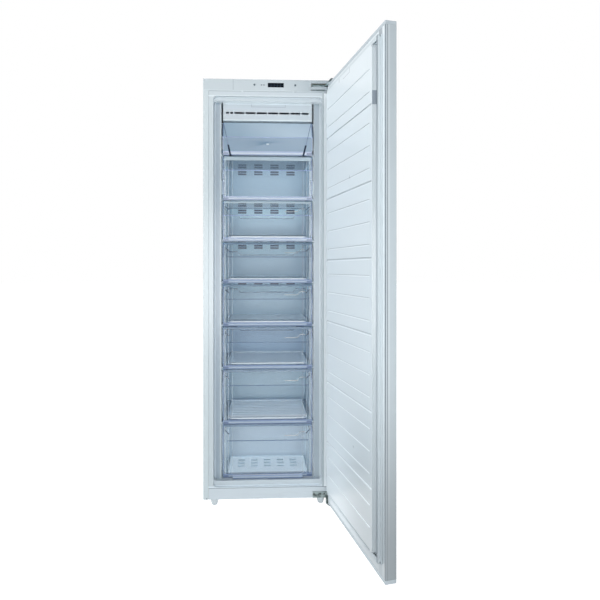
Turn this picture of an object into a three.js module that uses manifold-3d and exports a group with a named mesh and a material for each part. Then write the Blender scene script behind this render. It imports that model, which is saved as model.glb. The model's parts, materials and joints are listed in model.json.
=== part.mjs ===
// Built-in column freezer, shown with its door standing open.
// Lengths are in millimetres: x runs across, y from the front to the back, z up from the floor.
// The casing's front is the plane y = 0 until the last step, which moves the whole freezer so that
// the origin is under the middle of its footprint.

import * as THREE from "three";
import Module from "manifold-3d";

const wasm = await Module();
wasm.setup();
const { Manifold, CrossSection } = wasm;

// Whole cabinet
const cabinetWidth = 536;
const cabinetHeight = 1775;
const casingDepth = 480;
const footHeight = 30;
const sheet = 0.8;
const gap = 0.3;
const past = 4;

// Front frame
const casingFlange = 21.7;
const fasciaHeight = 49;
const fasciaDepth = 30;
const fasciaWall = 3;
const kickHeight = 47;
const kickThickness = 3;
const frameBand = 20.3;

// Lining: a rebate and a wide mouth for the door's panel, then the narrower cold space with a step
// at its foot
const rebateDrop = 22;
const rebateSill = 22;
const rebateClearance = 2;
const mouthSill = 25;
const mouthHead = 38;
const mouthDepth = 35;
const mouthRadius = 14;
const liningWall = 2;
const liningFlange = 2.2;
const sideFoam = 72;
const backFoam = 70;
const stepShelfGap = 32;

// Machine bay behind the step
const trayThickness = 2;
const baySide = 32;
const bayDepth = 205;
const bayFoam = 40;

// Compartments from the top down, as shares of the height under the air cover
const coverHeight = 74;
const compartmentShares = [0.0893, 0.1263, 0.1157, 0.1177, 0.1204, 0.1204, 0.1541, 0.1561];
const flapCount = 2;

// Clear fronts of the flaps and drawers, folded outwards along one line
const frontPlane = 52;
const footPlane = 42;
const foldPlane = 27;
const foldDrop = 72;
const clearWall = 3;
const frontSideGap = 7;
const frontHeadGap = 5;
const frontOverhang = 10;
const frontRowGap = 4;
const rimHeight = 16;
const foldBead = 1.6;

// Glass shelves on ledges
const glassThickness = 4;
const shelfSideGap = 0.6;
const shelfFrontGap = 2;
const shelfBackGap = 2;
const ledgeReach = 10;
const ledgeHeight = 6;
const ledgeSetBack = 3;

// Air cover with a sloping tray, cooling block and fan
const coverFront = 38;
const coverWall = 3;
const coverSideGap = 8;
const coverFlat = 37;
const coverSlopeRun = 225;
const coverSlopeDrop = 69;
const coverSlotStart = -176;
const coverSlotWidth = 42;
const coverShortSlot = 12;
const coverEndSlot = 29;
const coverShortSlots = 2;
const coverFullSlots = 6;
const coverSlotBar = 5.5;
const coverSlotHeight = 7;
const coverSlotRise = 29;
const plaqueLeft = -69;
const plaqueWidth = 144;
const plaqueHeight = 15;
const plaqueProud = 1.6;
const plaqueRadius = 5;
const blockSideGap = 46;
const blockFront = 90;
const blockDepth = 150;
const blockHeight = 62;
const blockRibs = 3;
const blockRibSpan = 120;
const finCount = 19;
const finThickness = 0.8;
const coolTubeRadius = 4;
const coolTubeRows = 4;
const coolTubeLayers = 2;
const shroudGap = 22;
const shroudWall = 3;
const shroudSideGap = 10;
const fanHoleRadius = 27;
const fanRadius = 25;
const fanHubRadius = 9;
const fanHubLength = 9;
const fanBlades = 5;
const bladeWidth = 13;
const bladeThickness = 1.2;
const bladeTilt = 35;
const motorRadius = 12;
const motorLength = 19;
const motorSetBack = 16;
const motorArm = 5;
const motorPostSpan = 31;
const shaftRadius = 1.5;
const shaftLength = 9;

// Air duct on the back wall, with slotted outlets above and below each shelf
const ductDepth = 20;
const ductSideGap = 21;
const ductWall = 2.5;
const ductFootRise = 43;
const ventWidth = 41;
const ventPitch = 80;
const ventColumns = 4;
const ventHeight = 8.5;
const ventBar = 3;
const ventUpperShelves = 3;
const ventLowerShelves = 4;
const ventAbove = 7;
const ventBelow = 3;

// Flaps over the top two compartments
const flapPivotDrop = 4;
const flapPivotBack = 6;
const flapPinRadius = 2.5;
const flapPinSeat = 1.4;
const flapBoss = 14;
const flapBossDepth = 10;
const flapBossWidth = 6;
const flapGripHalf = 75;
const flapGripHeight = 5;
const markHalf = 7;
const markHeight = 8;
const markRise = 26;
const markProud = 0.8;
const bracketReach = 16;
const bracketFront = 60;
const bracketDepth = 16;
const bracketRise = 16;
const bracketHeight = 60;
const bracketRim = 4;

// Drawers, narrower at the foot, with a raised floor
const drawerFootGap = 0.4;
const drawerTopDrop = 38;
const drawerTopGap = 14;
const drawerTaper = 12;
const drawerWall = 2.5;
const drawerBackGap = 85;
const drawerFloorRise = 14;
const drawerRim = 4;
const dipDepth = 16;
const dipHalf = 125;
const dipSlope = 16;
const stopFront = 48;
const stopLength = 18;
const stopReach = 8;
const stopHeight = 6;
const lowDrawerBackGap = 10;
const lipHalf = 147;
const lipProud = 16;
const lipHeight = 23;
const drainColumns = 5;
const drainRowShares = [0.35, 0.54, 0.73];
const drainPitch = 58;
const drainWidth = 29;
const drainLength = 14;
const ridgeCount = 9;
const ridgeHeight = 1.2;
const ridgeWidth = 5;
const ridgeMargin = 14;

// Controls in the fascia
const controlRise = 26;
const displayLeft = 0;
const displayWidth = 66;
const displayHeight = 18;
const windowThickness = 2.5;
const lampLeft = -31;
const lampWidth = 19;
const lampHeight = 3;
const leftButtonPlace = -56;
const rightButtonPlace = 114;
const buttonRadius = 5;
const buttonProud = 1.6;
const buttonCollarRadius = 7;
const buttonCollar = 1.5;
const buttonStem = 8;
const boardLeft = -75;
const boardRight = 135;
const boardFront = 10.5;
const boardThickness = 1.6;
const boardHeight = 30;
const seamPlace = -144;
const seamWidth = 1;
const seamDepth = 0.8;
const tabPlace = 106;
const tabHalf = 4;
const tabHeight = 9;
const tabDrop = 3;
const tabProud = 1.2;

// Door, laid out shut and then turned open about its pivot
const doorSideGap = 3;
const doorBottom = 13;
const doorHeadGap = 22;
const doorStandOff = 13;
const doorThickness = 38;
const doorOpenAngle = 101.1;
const pivotInset = 6;
const pivotDepth = 9;
const pinRadius = 3.5;
const pinClearance = 0.3;
const capHeight = 12;
const doorLiningWall = 2;
const panelProud = 23;
const panelSideGap = 2;
const panelLean = 6;
const panelDraft = 2;
const panelWall = 3.5;
const panelRadius = 16;
const majorFirstDrop = 180;
const majorPitch = 243.9;
const majorMargin = 4;
const majorWidth = 8;
const majorDepth = 2.4;
const minorShares = [0.231, 0.526, 0.82];
const minorMargin = 18;
const minorWidth = 5;
const minorDepth = 1.6;
const gasketGap = 3;
const gasketWidth = 18;
const gasketReach = 11.4;
const gasketInset = 4;
const gasketRadius = 10;
const blankDrop = 137;
const blankHeight = 44;
const blankThickness = 0.6;
const blankWidth = 22;

// Upper hinge, its slots in the fascia and the clip on the door's upper end, placed from the pivot
const armThickness = 4;
const armRadius = 8;
const armRootInset = 13;
const armRootBack = 36;
const armLift = 1.2;
const mountReach = 73;
const mountFoot = 10;
const mountHeadGap = 7;
const pinRise = 19;
const pinDepth = 10;
const slotEdge = 6;
const slotEnd = 5;
const slotBelow = 6.2;
const slotAbove = 3.8;
const lowSlotShort = 23;
const lowSlotRise = 5;
const lowSlotHeight = 5;
const clipFootReach = 63;
const clipWebReach = 27;
const clipEnd = 5;
const clipFrontReach = 24;
const clipBackReach = 8;
const clipFootBack = 4;
const clipThickness = 3;
const clipRise = 12.7;

// Lower hinge, placed from the pivot
const lowPlateReach = 72;
const lowPlateEnd = 3;
const lowPlateRise = 1;
const lowPlateHeight = 25;
const lowPlateThickness = 3.5;
const lowArmReach = 17;
const lowArmDrop = 6.5;
const washerRadius = 6;
const hingeScrewShares = [0.08, 0.413, 0.64];
const hingeScrewRadius = 3.2;
const hingeScrewProud = 1.2;

// Feet
const footInset = 45;
const footFront = 25;
const footRearInset = 55;
const footTopRadius = 18;
const footRimHeight = 5;
const footBottomRadius = 11;
const footStemRadius = 5;
const footStemTop = 46;

// Machinery in the bay and on the back
const potX = 70;
const potRadius = 72;
const potStand = 20;
const potOutlineShares = [[0.62, 0], [0.92, 0.13], [1, 0.36], [1, 0.58], [0.86, 0.84], [0.42, 1]];
const potPlateHalf = 95;
const potPlateDepth = 70;
const potPlateThickness = 3;
const potFootRadius = 9;
const potFootInset = 14;
const boxWidth = 30;
const boxDepth = 50;
const boxRise = 33;
const boxHeight = 45;
const panHalf = 80;
const panDepth = 75;
const panHeight = 30;
const panHeadGap = 46;
const panWall = 2;
const coilSideGap = 58;
const coilFootRise = 38;
const coilHeadGap = 383;
const coilRuns = 12;
const coilSheet = 1;
const coilStandOff = 8;
const coilTubeRadius = 2.5;
const coilTubeInset = 18;
const coilMargin = 40;
const coilSpacer = 22;
const tailRise = 98;
const tailGap = 67;

// Worked out from the sizes above
const halfWidth = cabinetWidth / 2;
const frameInner = halfWidth - casingFlange;
const fasciaBottom = cabinetHeight - fasciaHeight;
const kickTop = footHeight + kickHeight;
const mouthHalf = frameInner - frameBand;
const mouthBottom = kickTop + mouthSill;
const mouthTop = fasciaBottom - mouthHead;
const rebateLow = mouthBottom - rebateSill;
const rebateTop = fasciaBottom - rebateDrop;
const rebateDepth = panelProud - doorStandOff + rebateClearance;
const cavityHalf = halfWidth - sideFoam;
const cavityBack = casingDepth - backFoam;
const bayHalf = halfWidth - baySide;
const bayFront = casingDepth - bayDepth;
const bayFloor = footHeight + trayThickness;
const stepFront = bayFront - bayFoam;
const insideWall = halfWidth - sheet - gap;
const ductFront = cavityBack - ductDepth;
const ductHalf = cavityHalf - ductSideGap;
const coverBottom = mouthTop - coverHeight;
const coverHalf = cavityHalf - coverSideGap;
const coverTray = coverBottom + coverWall + gap;
const coverBack = ductFront - shelfBackGap;
const blockHalf = cavityHalf - blockSideGap;
const shroudFront = blockFront + blockDepth + shroudGap;
const shroudHalf = cavityHalf - shroudSideGap;
const fanHeight = (coverBottom + coverWall + mouthTop) / 2;
const glassHalf = cavityHalf - shelfSideGap;
const glassFront = frontPlane + clearWall + shelfFrontGap;
const glassBack = ductFront - shelfBackGap;
const frontHalf = cavityHalf - frontSideGap;
const drawerTopHalf = cavityHalf - drawerTopGap;
const drawerBack = ductFront - drawerBackGap;
const lowDrawerBack = stepFront - lowDrawerBackGap;
const controlHeight = fasciaBottom + controlRise;
const buttonPlaces = [leftButtonPlace, rightButtonPlace];
const doorHalf = halfWidth - doorSideGap;
const doorTop = cabinetHeight - doorHeadGap;
const doorInner = -doorStandOff;
const doorOuter = doorInner - doorThickness;
const pivotX = doorHalf - pivotInset;
const pivotY = doorInner - pivotDepth;
const panelBaseHalf = mouthHalf - panelSideGap;
const panelFaceHalf = panelBaseHalf - panelLean;
const panelLow = rebateLow + panelSideGap;
const panelHigh = rebateTop - panelSideGap;
const gasketInner = panelBaseHalf + gasketGap;
const armLow = doorTop + armLift;
const mountLeft = pivotX - mountReach;
const slotRight = halfWidth - slotEdge;
const footSpan = halfWidth - footInset;
const footRear = casingDepth - footRearInset;
const potY = (bayFront + casingDepth) / 2;
const potBottom = bayFloor + potStand;
const floors = compartmentFloors();
const stepTop = floors[floors.length - 2] - glassThickness - stepShelfGap;
const bayTop = stepTop - bayFoam;
const potHeight = bayTop - panHeadGap - panHeight - potBottom;

function compartmentFloors() {
  const tops = [];
  let level = coverBottom;
  for (const share of compartmentShares) {
    level -= (coverBottom - mouthBottom) * share;
    tops.push(level);
  }
  return tops;
}

function ceilingOf(index) {
  return index === 0 ? coverBottom : floors[index - 1] - glassThickness;
}

// Lower and upper edge of the clear front of a compartment
function frontLow(index) {
  const last = index === floors.length - 1;
  return last ? floors[index] + drawerFootGap : floors[index] - frontOverhang;
}

function frontTop(index) {
  return index === 0 ? coverBottom - frontHeadGap : floors[index - 1] - frontOverhang - frontRowGap;
}

function flapPivotHeight(index) {
  return frontTop(index) - flapPivotDrop;
}

// Shapes

function block(x0, x1, y0, y1, z0, z1) {
  return Manifold.cube([x1 - x0, y1 - y0, z1 - z0]).translate([x0, y0, z0]);
}

function wide(half, y0, y1, z0, z1) {
  return block(-half, half, y0, y1, z0, z1);
}

function upright(radius, x, y, z0, z1, sides = 24) {
  return Manifold.cylinder(z1 - z0, radius, radius, sides).translate([x, y, z0]);
}

function across(radius, x0, x1, y, z, sides = 16) {
  return Manifold.cylinder(x1 - x0, radius, radius, sides).rotate([0, 90, 0]).translate([x0, y, z]);
}

function inward(radius, x, y0, y1, z, sides = 24) {
  return Manifold.cylinder(y1 - y0, radius, radius, sides).rotate([-90, 0, 0]).translate([x, y0, z]);
}

function roundedOutline(half, height, radius) {
  const core = CrossSection.square([2 * (half - radius), height - 2 * radius], true);
  return core.offset(radius, "Round", 2, 24);
}

// A rounded upright panel between two depths, centred across.
function panel(half, y0, y1, z0, z1, radius) {
  const body = roundedOutline(half, z1 - z0, radius).extrude(y1 - y0);
  return body.rotate([-90, 0, 0]).translate([0, y0, (z0 + z1) / 2]);
}

// An outline drawn in x and z, made solid between two depths.
function fromFront(points, y0, y1) {
  const body = new CrossSection([points]).extrude(y1 - y0);
  return body.rotate([90, 0, 0]).translate([0, y1, 0]);
}

// An outline drawn in y and z, made solid between two places across.
function fromSide(points, x0, x1) {
  const body = new CrossSection([points]).extrude(x1 - x0);
  return body.rotate([90, 0, 90]).translate([x0, 0, 0]);
}

function join(...solids) {
  return Manifold.union(solids.flat());
}

// Cabinet shell

function sidePanel(side) {
  const top = cabinetHeight - sheet - gap;
  const notchBottom = fasciaBottom - gap;
  const wall = block(halfWidth - sheet, halfWidth, 0, casingDepth, footHeight, top);
  const notch = block(
    halfWidth - past,
    halfWidth + past,
    -past,
    fasciaDepth + gap,
    notchBottom,
    cabinetHeight,
  );
  const flange = block(frameInner, halfWidth, 0, sheet, footHeight, notchBottom);
  const right = join(wall.subtract(notch), flange);
  return side > 0 ? right : right.mirror([1, 0, 0]);
}

function topPanel() {
  return wide(halfWidth, fasciaDepth + gap, casingDepth, cabinetHeight - sheet, cabinetHeight);
}

function backPanel() {
  const front = casingDepth - sheet - gap / 2;
  return wide(insideWall, front, front + sheet, bayTop + gap, cabinetHeight - sheet - gap);
}

function footHoles(radius, top) {
  const places = [];
  for (const y of [footFront, footRear]) {
    for (const x of [-footSpan, footSpan]) {
      places.push(upright(radius, x, y, 0, top));
    }
  }
  return join(places);
}

function baseTray() {
  const back = casingDepth - sheet - gap;
  const floor = wide(insideWall, kickThickness + gap, back, footHeight, bayFloor);
  const cover = wide(bayHalf, bayFront, back, footHeight, bayTop);
  const space = wide(bayHalf - sheet, bayFront + sheet, back + past, bayFloor, bayTop - sheet);
  return join(floor, cover).subtract(space).subtract(footHoles(footStemRadius + gap, bayFloor + past));
}

// The cold space seen from the side, grown outwards by an allowance.
function cavityBlock(grow, front) {
  const floor = mouthBottom - grow;
  const step = stepTop - grow;
  const top = mouthTop + grow;
  const points = [
    [front, floor],
    [stepFront + grow, floor],
    [stepFront + grow, step],
    [cavityBack + grow, step],
    [cavityBack + grow, top],
    [front, top],
  ];
  return fromSide(points, -cavityHalf - grow, cavityHalf + grow);
}

function mouthBlock(grow, front) {
  const half = mouthHalf + grow;
  const back = mouthDepth + grow;
  return panel(half, front, back, mouthBottom - grow, mouthTop + grow, mouthRadius + grow);
}

// The shallow rebate above and below the mouth, which takes the ends of the door's panel
function rebateBlock(grow, front) {
  const half = mouthHalf + grow;
  return panel(half, front, rebateDepth + grow, rebateLow - grow, rebateTop + grow, mouthRadius + grow);
}

function insulation() {
  const back = casingDepth - sheet - 2 * gap;
  const whole = wide(insideWall, kickThickness + gap, back, bayFloor + gap, cabinetHeight - sheet - gap);
  const shell = liningWall + gap;
  const notchBack = fasciaDepth + 1.5 * gap + fasciaWall;
  const notch = wide(halfWidth, -past, notchBack, fasciaBottom - gap, cabinetHeight);
  const bay = wide(bayHalf + gap, bayFront - gap, casingDepth + past, footHeight, bayTop + gap);
  return whole
    .subtract(cavityBlock(shell, mouthDepth))
    .subtract(mouthBlock(shell, -past))
    .subtract(rebateBlock(shell, -past))
    .subtract(notch)
    .subtract(bay)
    .subtract(footHoles(footStemRadius + 2 * gap, footStemTop + gap));
}

function lining() {
  const flange = wide(frameInner - gap, 0, liningFlange, kickTop + gap, fasciaBottom - gap);
  const dished = join(rebateBlock(liningWall, 0), mouthBlock(liningWall, 0));
  const outer = join(flange, dished, cavityBlock(liningWall, mouthDepth));
  const rooted = cavityHalf + liningWall / 2;
  const ledgeFront = glassFront + ledgeSetBack;
  const carriers = [];
  for (const floor of floors.slice(0, -1)) {
    const top = floor - glassThickness - gap;
    const ledge = block(cavityHalf - ledgeReach, rooted, ledgeFront, glassBack, top - ledgeHeight, top);
    carriers.push(ledge, ledge.mirror([1, 0, 0]));
  }
  for (const floor of floors.slice(0, flapCount)) {
    const bracket = flapBracket(floor + bracketRise, rooted);
    carriers.push(bracket, bracket.mirror([1, 0, 0]));
  }
  const hollow = join(rebateBlock(0, -past), mouthBlock(0, -past), cavityBlock(0, mouthDepth - past));
  return join(outer.subtract(hollow), carriers).subtract(flapSockets());
}

// A hollow bracket on the side wall behind a flap
function flapBracket(low, rooted) {
  const left = cavityHalf - bracketReach;
  const top = low + bracketHeight;
  const back = bracketFront + bracketDepth;
  const pocket = block(
    left + bracketRim,
    cavityHalf - bracketRim,
    bracketFront - past,
    back - bracketRim,
    low + bracketRim,
    top - bracketRim,
  );
  return block(left, rooted, bracketFront, back, low, top).subtract(pocket);
}

// Blind holes for the flap pins, one pair for each flap
function flapSockets() {
  const holes = [];
  for (let index = 0; index < flapCount; index += 1) {
    const z = flapPivotHeight(index);
    const reach = cavityHalf + flapPinSeat;
    holes.push(across(flapPinRadius + gap, -reach, reach, frontPlane + flapPivotBack, z));
  }
  return join(holes);
}

function kickPanel() {
  return wide(frameInner - gap, 0, kickThickness, footHeight, kickTop);
}

function foot(x, y) {
  const outline = [
    [0, 0],
    [footBottomRadius, 0],
    [footTopRadius, footHeight - footRimHeight],
    [footTopRadius, footHeight - gap],
    [footStemRadius, footHeight - gap],
    [footStemRadius, footStemTop],
    [0, footStemTop],
  ];
  return Manifold.revolve(new CrossSection([outline]), 28).translate([x, y, 0]);
}

// Control fascia

function fascia() {
  const shell = wide(halfWidth, 0, fasciaDepth, fasciaBottom, cabinetHeight);
  const hollow = wide(
    halfWidth - fasciaWall,
    fasciaWall,
    fasciaDepth + past,
    fasciaBottom + fasciaWall,
    cabinetHeight - fasciaWall,
  );
  const slotLeft = mountLeft - slotEnd;
  const slotTop = armLow + armThickness + slotAbove;
  const lowSlot = fasciaBottom + lowSlotRise;
  const through = fasciaWall + past;
  const cuts = [
    block(slotLeft, slotRight, -past, through, armLow - slotBelow, slotTop),
    block(slotLeft, slotRight - lowSlotShort, -past, through, lowSlot, lowSlot + lowSlotHeight),
    block(seamPlace, seamPlace + seamWidth, -past, seamDepth, fasciaBottom - past, cabinetHeight + past),
    displayBlock(gap, -past, past),
    lampBlock(gap, -past, past),
  ];
  for (const x of buttonPlaces) {
    cuts.push(inward(buttonRadius + gap, x, -past, past, controlHeight));
  }
  const tabs = [];
  for (const x of [-tabPlace, tabPlace]) {
    const low = fasciaBottom - tabDrop;
    const top = low + tabHeight;
    tabs.push(block(x - tabHalf, x + tabHalf, -tabProud, -gap, low, top));
    tabs.push(block(x - tabHalf, x + tabHalf, -tabProud, fasciaWall / 2, fasciaBottom + gap, top));
  }
  return join(shell.subtract(hollow).subtract(join(cuts)), tabs);
}

function displayBlock(grow, y0, y1) {
  const low = controlHeight - displayHeight / 2;
  return block(
    displayLeft - grow,
    displayLeft + displayWidth + grow,
    y0,
    y1,
    low - grow,
    low + displayHeight + grow,
  );
}

function lampBlock(grow, y0, y1) {
  const low = controlHeight - lampHeight / 2;
  const right = lampLeft + lampWidth;
  return block(lampLeft - grow, right + grow, y0, y1, low - grow, low + lampHeight + grow);
}

function button(x) {
  const cap = inward(buttonRadius, x, -buttonProud, fasciaWall + gap + buttonCollar, controlHeight);
  const collarFront = fasciaWall + gap;
  const collar = inward(buttonCollarRadius, x, collarFront, collarFront + buttonCollar, controlHeight);
  const stem = inward(buttonRadius / 2, x, 0, buttonStem, controlHeight, 12);
  return join(cap, collar, stem);
}

function controlBoard() {
  const low = controlHeight - boardHeight / 2;
  const back = boardFront + boardThickness;
  const board = block(boardLeft, boardRight, boardFront, back, low, low + boardHeight);
  const posts = [];
  const postWidth = boardThickness * 2;
  for (const x of [boardLeft, boardRight - postWidth]) {
    posts.push(block(x, x + postWidth, fasciaWall + gap, back, low, low + boardHeight));
  }
  return join(board, posts);
}

// Air cover, cooling block and fan in the top of the cold space

// Height of the tray's upper face at a depth
function trayAt(y) {
  const slopeStart = coverFront + coverFlat;
  const share = Math.min(Math.max((y - slopeStart) / coverSlopeRun, 0), 1);
  return coverTray - gap - coverSlopeDrop * share;
}

function coverTrayProfile() {
  const start = coverFront + coverFlat;
  const end = start + coverSlopeRun;
  return [
    [coverFront, coverBottom],
    [start, coverBottom],
    [end, coverBottom - coverSlopeDrop],
    [coverBack, coverBottom - coverSlopeDrop],
    [coverBack, trayAt(coverBack)],
    [end, trayAt(end)],
    [start, trayAt(start)],
    [coverFront, trayAt(start)],
  ];
}

function airCover() {
  const top = mouthTop - gap;
  const back = coverFront + coverWall;
  const front = wide(coverHalf, coverFront, back, coverBottom, top);
  const tray = fromSide(coverTrayProfile(), -coverHalf, coverHalf);
  const plaqueLow = top - plaqueHeight;
  const plaque = panel(plaqueWidth / 2, coverFront - plaqueProud, back, plaqueLow, top, plaqueRadius);
  const ribs = [];
  for (let i = 0; i < blockRibs; i += 1) {
    const x = blockRibSpan * (i - (blockRibs - 1) / 2);
    const seat = coverTray - gap;
    const rib = [
      [blockFront, trayAt(blockFront) - coverWall / 2],
      [blockFront + blockDepth, trayAt(blockFront + blockDepth) - coverWall / 2],
      [blockFront + blockDepth, seat],
      [blockFront, seat],
    ];
    ribs.push(fromSide(rib, x - coverWall / 2, x + coverWall / 2));
  }
  const slots = [];
  let left = coverSlotStart;
  for (const width of coverSlotWidths()) {
    const low = coverBottom + coverSlotRise;
    slots.push(block(left, left + width, coverFront - past, back + past, low, low + coverSlotHeight));
    left += width + coverSlotBar;
  }
  const placed = plaque.translate([plaqueLeft + plaqueWidth / 2, 0, 0]);
  return join(front, tray, placed, ribs).subtract(join(slots));
}

function coverSlotWidths() {
  const short = new Array(coverShortSlots).fill(coverShortSlot);
  const full = new Array(coverFullSlots).fill(coverSlotWidth);
  return [...short, ...full, coverEndSlot];
}

function coolingBlock() {
  const low = coverTray;
  const parts = [];
  for (let i = 0; i < finCount; i += 1) {
    const x = -blockHalf + (2 * blockHalf - finThickness) * (i / (finCount - 1));
    parts.push(block(x, x + finThickness, blockFront, blockFront + blockDepth, low, low + blockHeight));
  }
  for (let row = 0; row < coolTubeRows; row += 1) {
    for (let layer = 0; layer < coolTubeLayers; layer += 1) {
      const y = blockFront + blockDepth * ((row + 0.5) / coolTubeRows);
      const z = low + blockHeight * ((layer + 0.5) / coolTubeLayers);
      const reach = blockHalf + coolTubeRadius;
      parts.push(across(coolTubeRadius, -reach, reach, y, z, 8));
    }
  }
  return join(parts);
}

function fanShroud() {
  const low = trayAt(shroudFront) + gap;
  const plate = wide(shroudHalf, shroudFront, shroudFront + shroudWall, low, mouthTop - gap);
  return plate.subtract(inward(fanHoleRadius, 0, shroudFront - past, shroudFront + past, fanHeight, 32));
}

function fanMotor() {
  const front = shroudFront + motorSetBack + gap;
  const postFront = shroudFront + shroudWall + gap;
  const armBack = front + motorArm;
  const armBottom = fanHeight - motorArm / 2;
  const armTop = fanHeight + motorArm / 2;
  const parts = [
    inward(motorRadius, 0, front, front + motorLength, fanHeight),
    inward(shaftRadius, 0, front - shaftLength, front, fanHeight, 12),
    wide(motorPostSpan, front, armBack, armBottom, armTop),
  ];
  for (const side of [-1, 1]) {
    const x = side * motorPostSpan - motorArm / 2;
    parts.push(block(x, x + motorArm, postFront, armBack, armBottom, armTop));
  }
  return join(parts);
}

function fanRotor() {
  const back = shroudFront + motorSetBack - 2 * gap;
  const middle = back - fanHubLength / 2;
  const parts = [inward(fanHubRadius, 0, back - fanHubLength, back, fanHeight)];
  for (let i = 0; i < fanBlades; i += 1) {
    const blade = block(
      fanHubRadius / 2,
      fanRadius,
      -bladeThickness / 2,
      bladeThickness / 2,
      -bladeWidth / 2,
      bladeWidth / 2,
    );
    const turned = blade.rotate([bladeTilt, 0, 0]).rotate([0, (360 * i) / fanBlades, 0]);
    parts.push(turned.translate([0, middle, fanHeight]));
  }
  const bore = inward(shaftRadius + gap, 0, back - shaftLength, back + past, fanHeight, 12);
  return join(parts).subtract(bore);
}

// Air duct with its outlets at each shelf

function airDuct() {
  const top = coverBottom - gap;
  const low = stepTop + ductFootRise;
  const back = cavityBack - gap;
  const inside = ductFront + ductWall;
  const shell = wide(ductHalf, ductFront, back, low, top);
  const hollow = wide(ductHalf - ductWall, inside, back + past, low + ductWall, top + past);
  const step = ventHeight + ventBar;
  const rows = [];
  for (const floor of floors.slice(0, ventUpperShelves)) {
    rows.push(floor + ventAbove, floor + ventAbove + step);
  }
  for (const floor of floors.slice(0, ventLowerShelves)) {
    const below = floor - glassThickness - ventBelow - ventHeight;
    rows.push(below, below - step);
  }
  const vents = [];
  for (const row of rows) {
    for (let column = 0; column < ventColumns; column += 1) {
      const x = (column - (ventColumns - 1) / 2) * ventPitch - ventWidth / 2;
      vents.push(block(x, x + ventWidth, ductFront - past, inside + past, row, row + ventHeight));
    }
  }
  return shell.subtract(hollow).subtract(join(vents));
}

function glassShelf(index) {
  const top = floors[index];
  return wide(glassHalf, glassFront, glassBack, top - glassThickness, top);
}

// The clear front of a flap or drawer: a plate folded along one line, with a thick rim at its foot

function foldHeight(index) {
  return ceilingOf(index) - foldDrop;
}

// Depth of the front's outer face at a height
function faceAt(index, z) {
  const fold = foldHeight(index);
  if (z > fold) {
    return foldPlane + ((frontPlane - foldPlane) * (z - fold)) / (frontTop(index) - fold);
  }
  return foldPlane + ((footPlane - foldPlane) * (fold - z)) / (fold - frontLow(index));
}

function clearFront(index) {
  const low = frontLow(index);
  const top = frontTop(index);
  const fold = foldHeight(index);
  const plate = [
    [footPlane, low],
    [footPlane + clearWall, low],
    [foldPlane + clearWall, fold],
    [frontPlane + clearWall, top],
    [frontPlane, top],
    [foldPlane, fold],
  ];
  const bead = [
    [foldPlane - foldBead / 2, fold],
    [foldPlane + clearWall / 2, fold - foldBead],
    [foldPlane + clearWall / 2, fold + foldBead],
  ];
  return join(
    fromSide(plate, -frontHalf, frontHalf),
    fromSide(bead, -frontHalf + foldBead, frontHalf - foldBead),
    wide(frontHalf, footPlane, frontPlane + clearWall, low, low + rimHeight),
  );
}

// Flaps over the top compartments, hung from pins near their upper edge

function flap(index) {
  const low = frontLow(index);
  const top = frontTop(index);
  const gripLow = low + rimHeight - clearWall;
  const gripTop = low + rimHeight + flapGripHeight;
  const markLow = low + rimHeight + markRise;
  const markFace = faceAt(index, markLow + markHeight / 2) - markProud;
  const parts = [
    clearFront(index),
    wide(flapGripHalf, footPlane, footPlane + 2 * clearWall, gripLow, gripTop),
    fromFront(
      [
        [-markHalf, markLow],
        [markHalf, markLow],
        [0, markLow + markHeight],
      ],
      markFace,
      markFace + clearWall,
    ),
  ];
  const pinY = frontPlane + flapPivotBack;
  const pinZ = flapPivotHeight(index);
  const pinLength = cavityHalf + flapPinSeat - gap - frontHalf + flapBossWidth / 2;
  for (const side of [-1, 1]) {
    const left = side > 0 ? frontHalf - flapBossWidth : -frontHalf;
    const bossBack = frontPlane + flapBossDepth;
    parts.push(block(left, left + flapBossWidth, frontPlane, bossBack, top - flapBoss, top));
    const rooted = frontHalf - flapBossWidth / 2;
    const pinStart = side > 0 ? rooted : -rooted - pinLength;
    parts.push(across(flapPinRadius, pinStart, pinStart + pinLength, pinY, pinZ));
  }
  return join(parts);
}

// Clear drawers

// A block that narrows towards its foot, drawn in by an allowance.
function taperedBlock(index, shrink, y0, y1, z0, z1) {
  const low = floors[index] + drawerFootGap;
  const top = ceilingOf(index) - drawerTopDrop;
  const halfAt = (z) => drawerTopHalf - shrink - (drawerTaper * (top - z)) / (top - low);
  const outline = [
    [-halfAt(z0), z0],
    [halfAt(z0), z0],
    [halfAt(z1), z1],
    [-halfAt(z1), z1],
  ];
  return fromFront(outline, y0, y1);
}

// The drawer's body seen from the side, its front edge inside the folded plate.
function bodyBlock(index, inset, back, z0, z1) {
  const fold = foldHeight(index);
  const outline = [
    [faceAt(index, z0) + inset, z0],
    [back, z0],
    [back, z1],
    [faceAt(index, z1) + inset, z1],
    [foldPlane + inset, fold],
  ];
  return fromSide(outline, -cavityHalf, cavityHalf);
}

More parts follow.
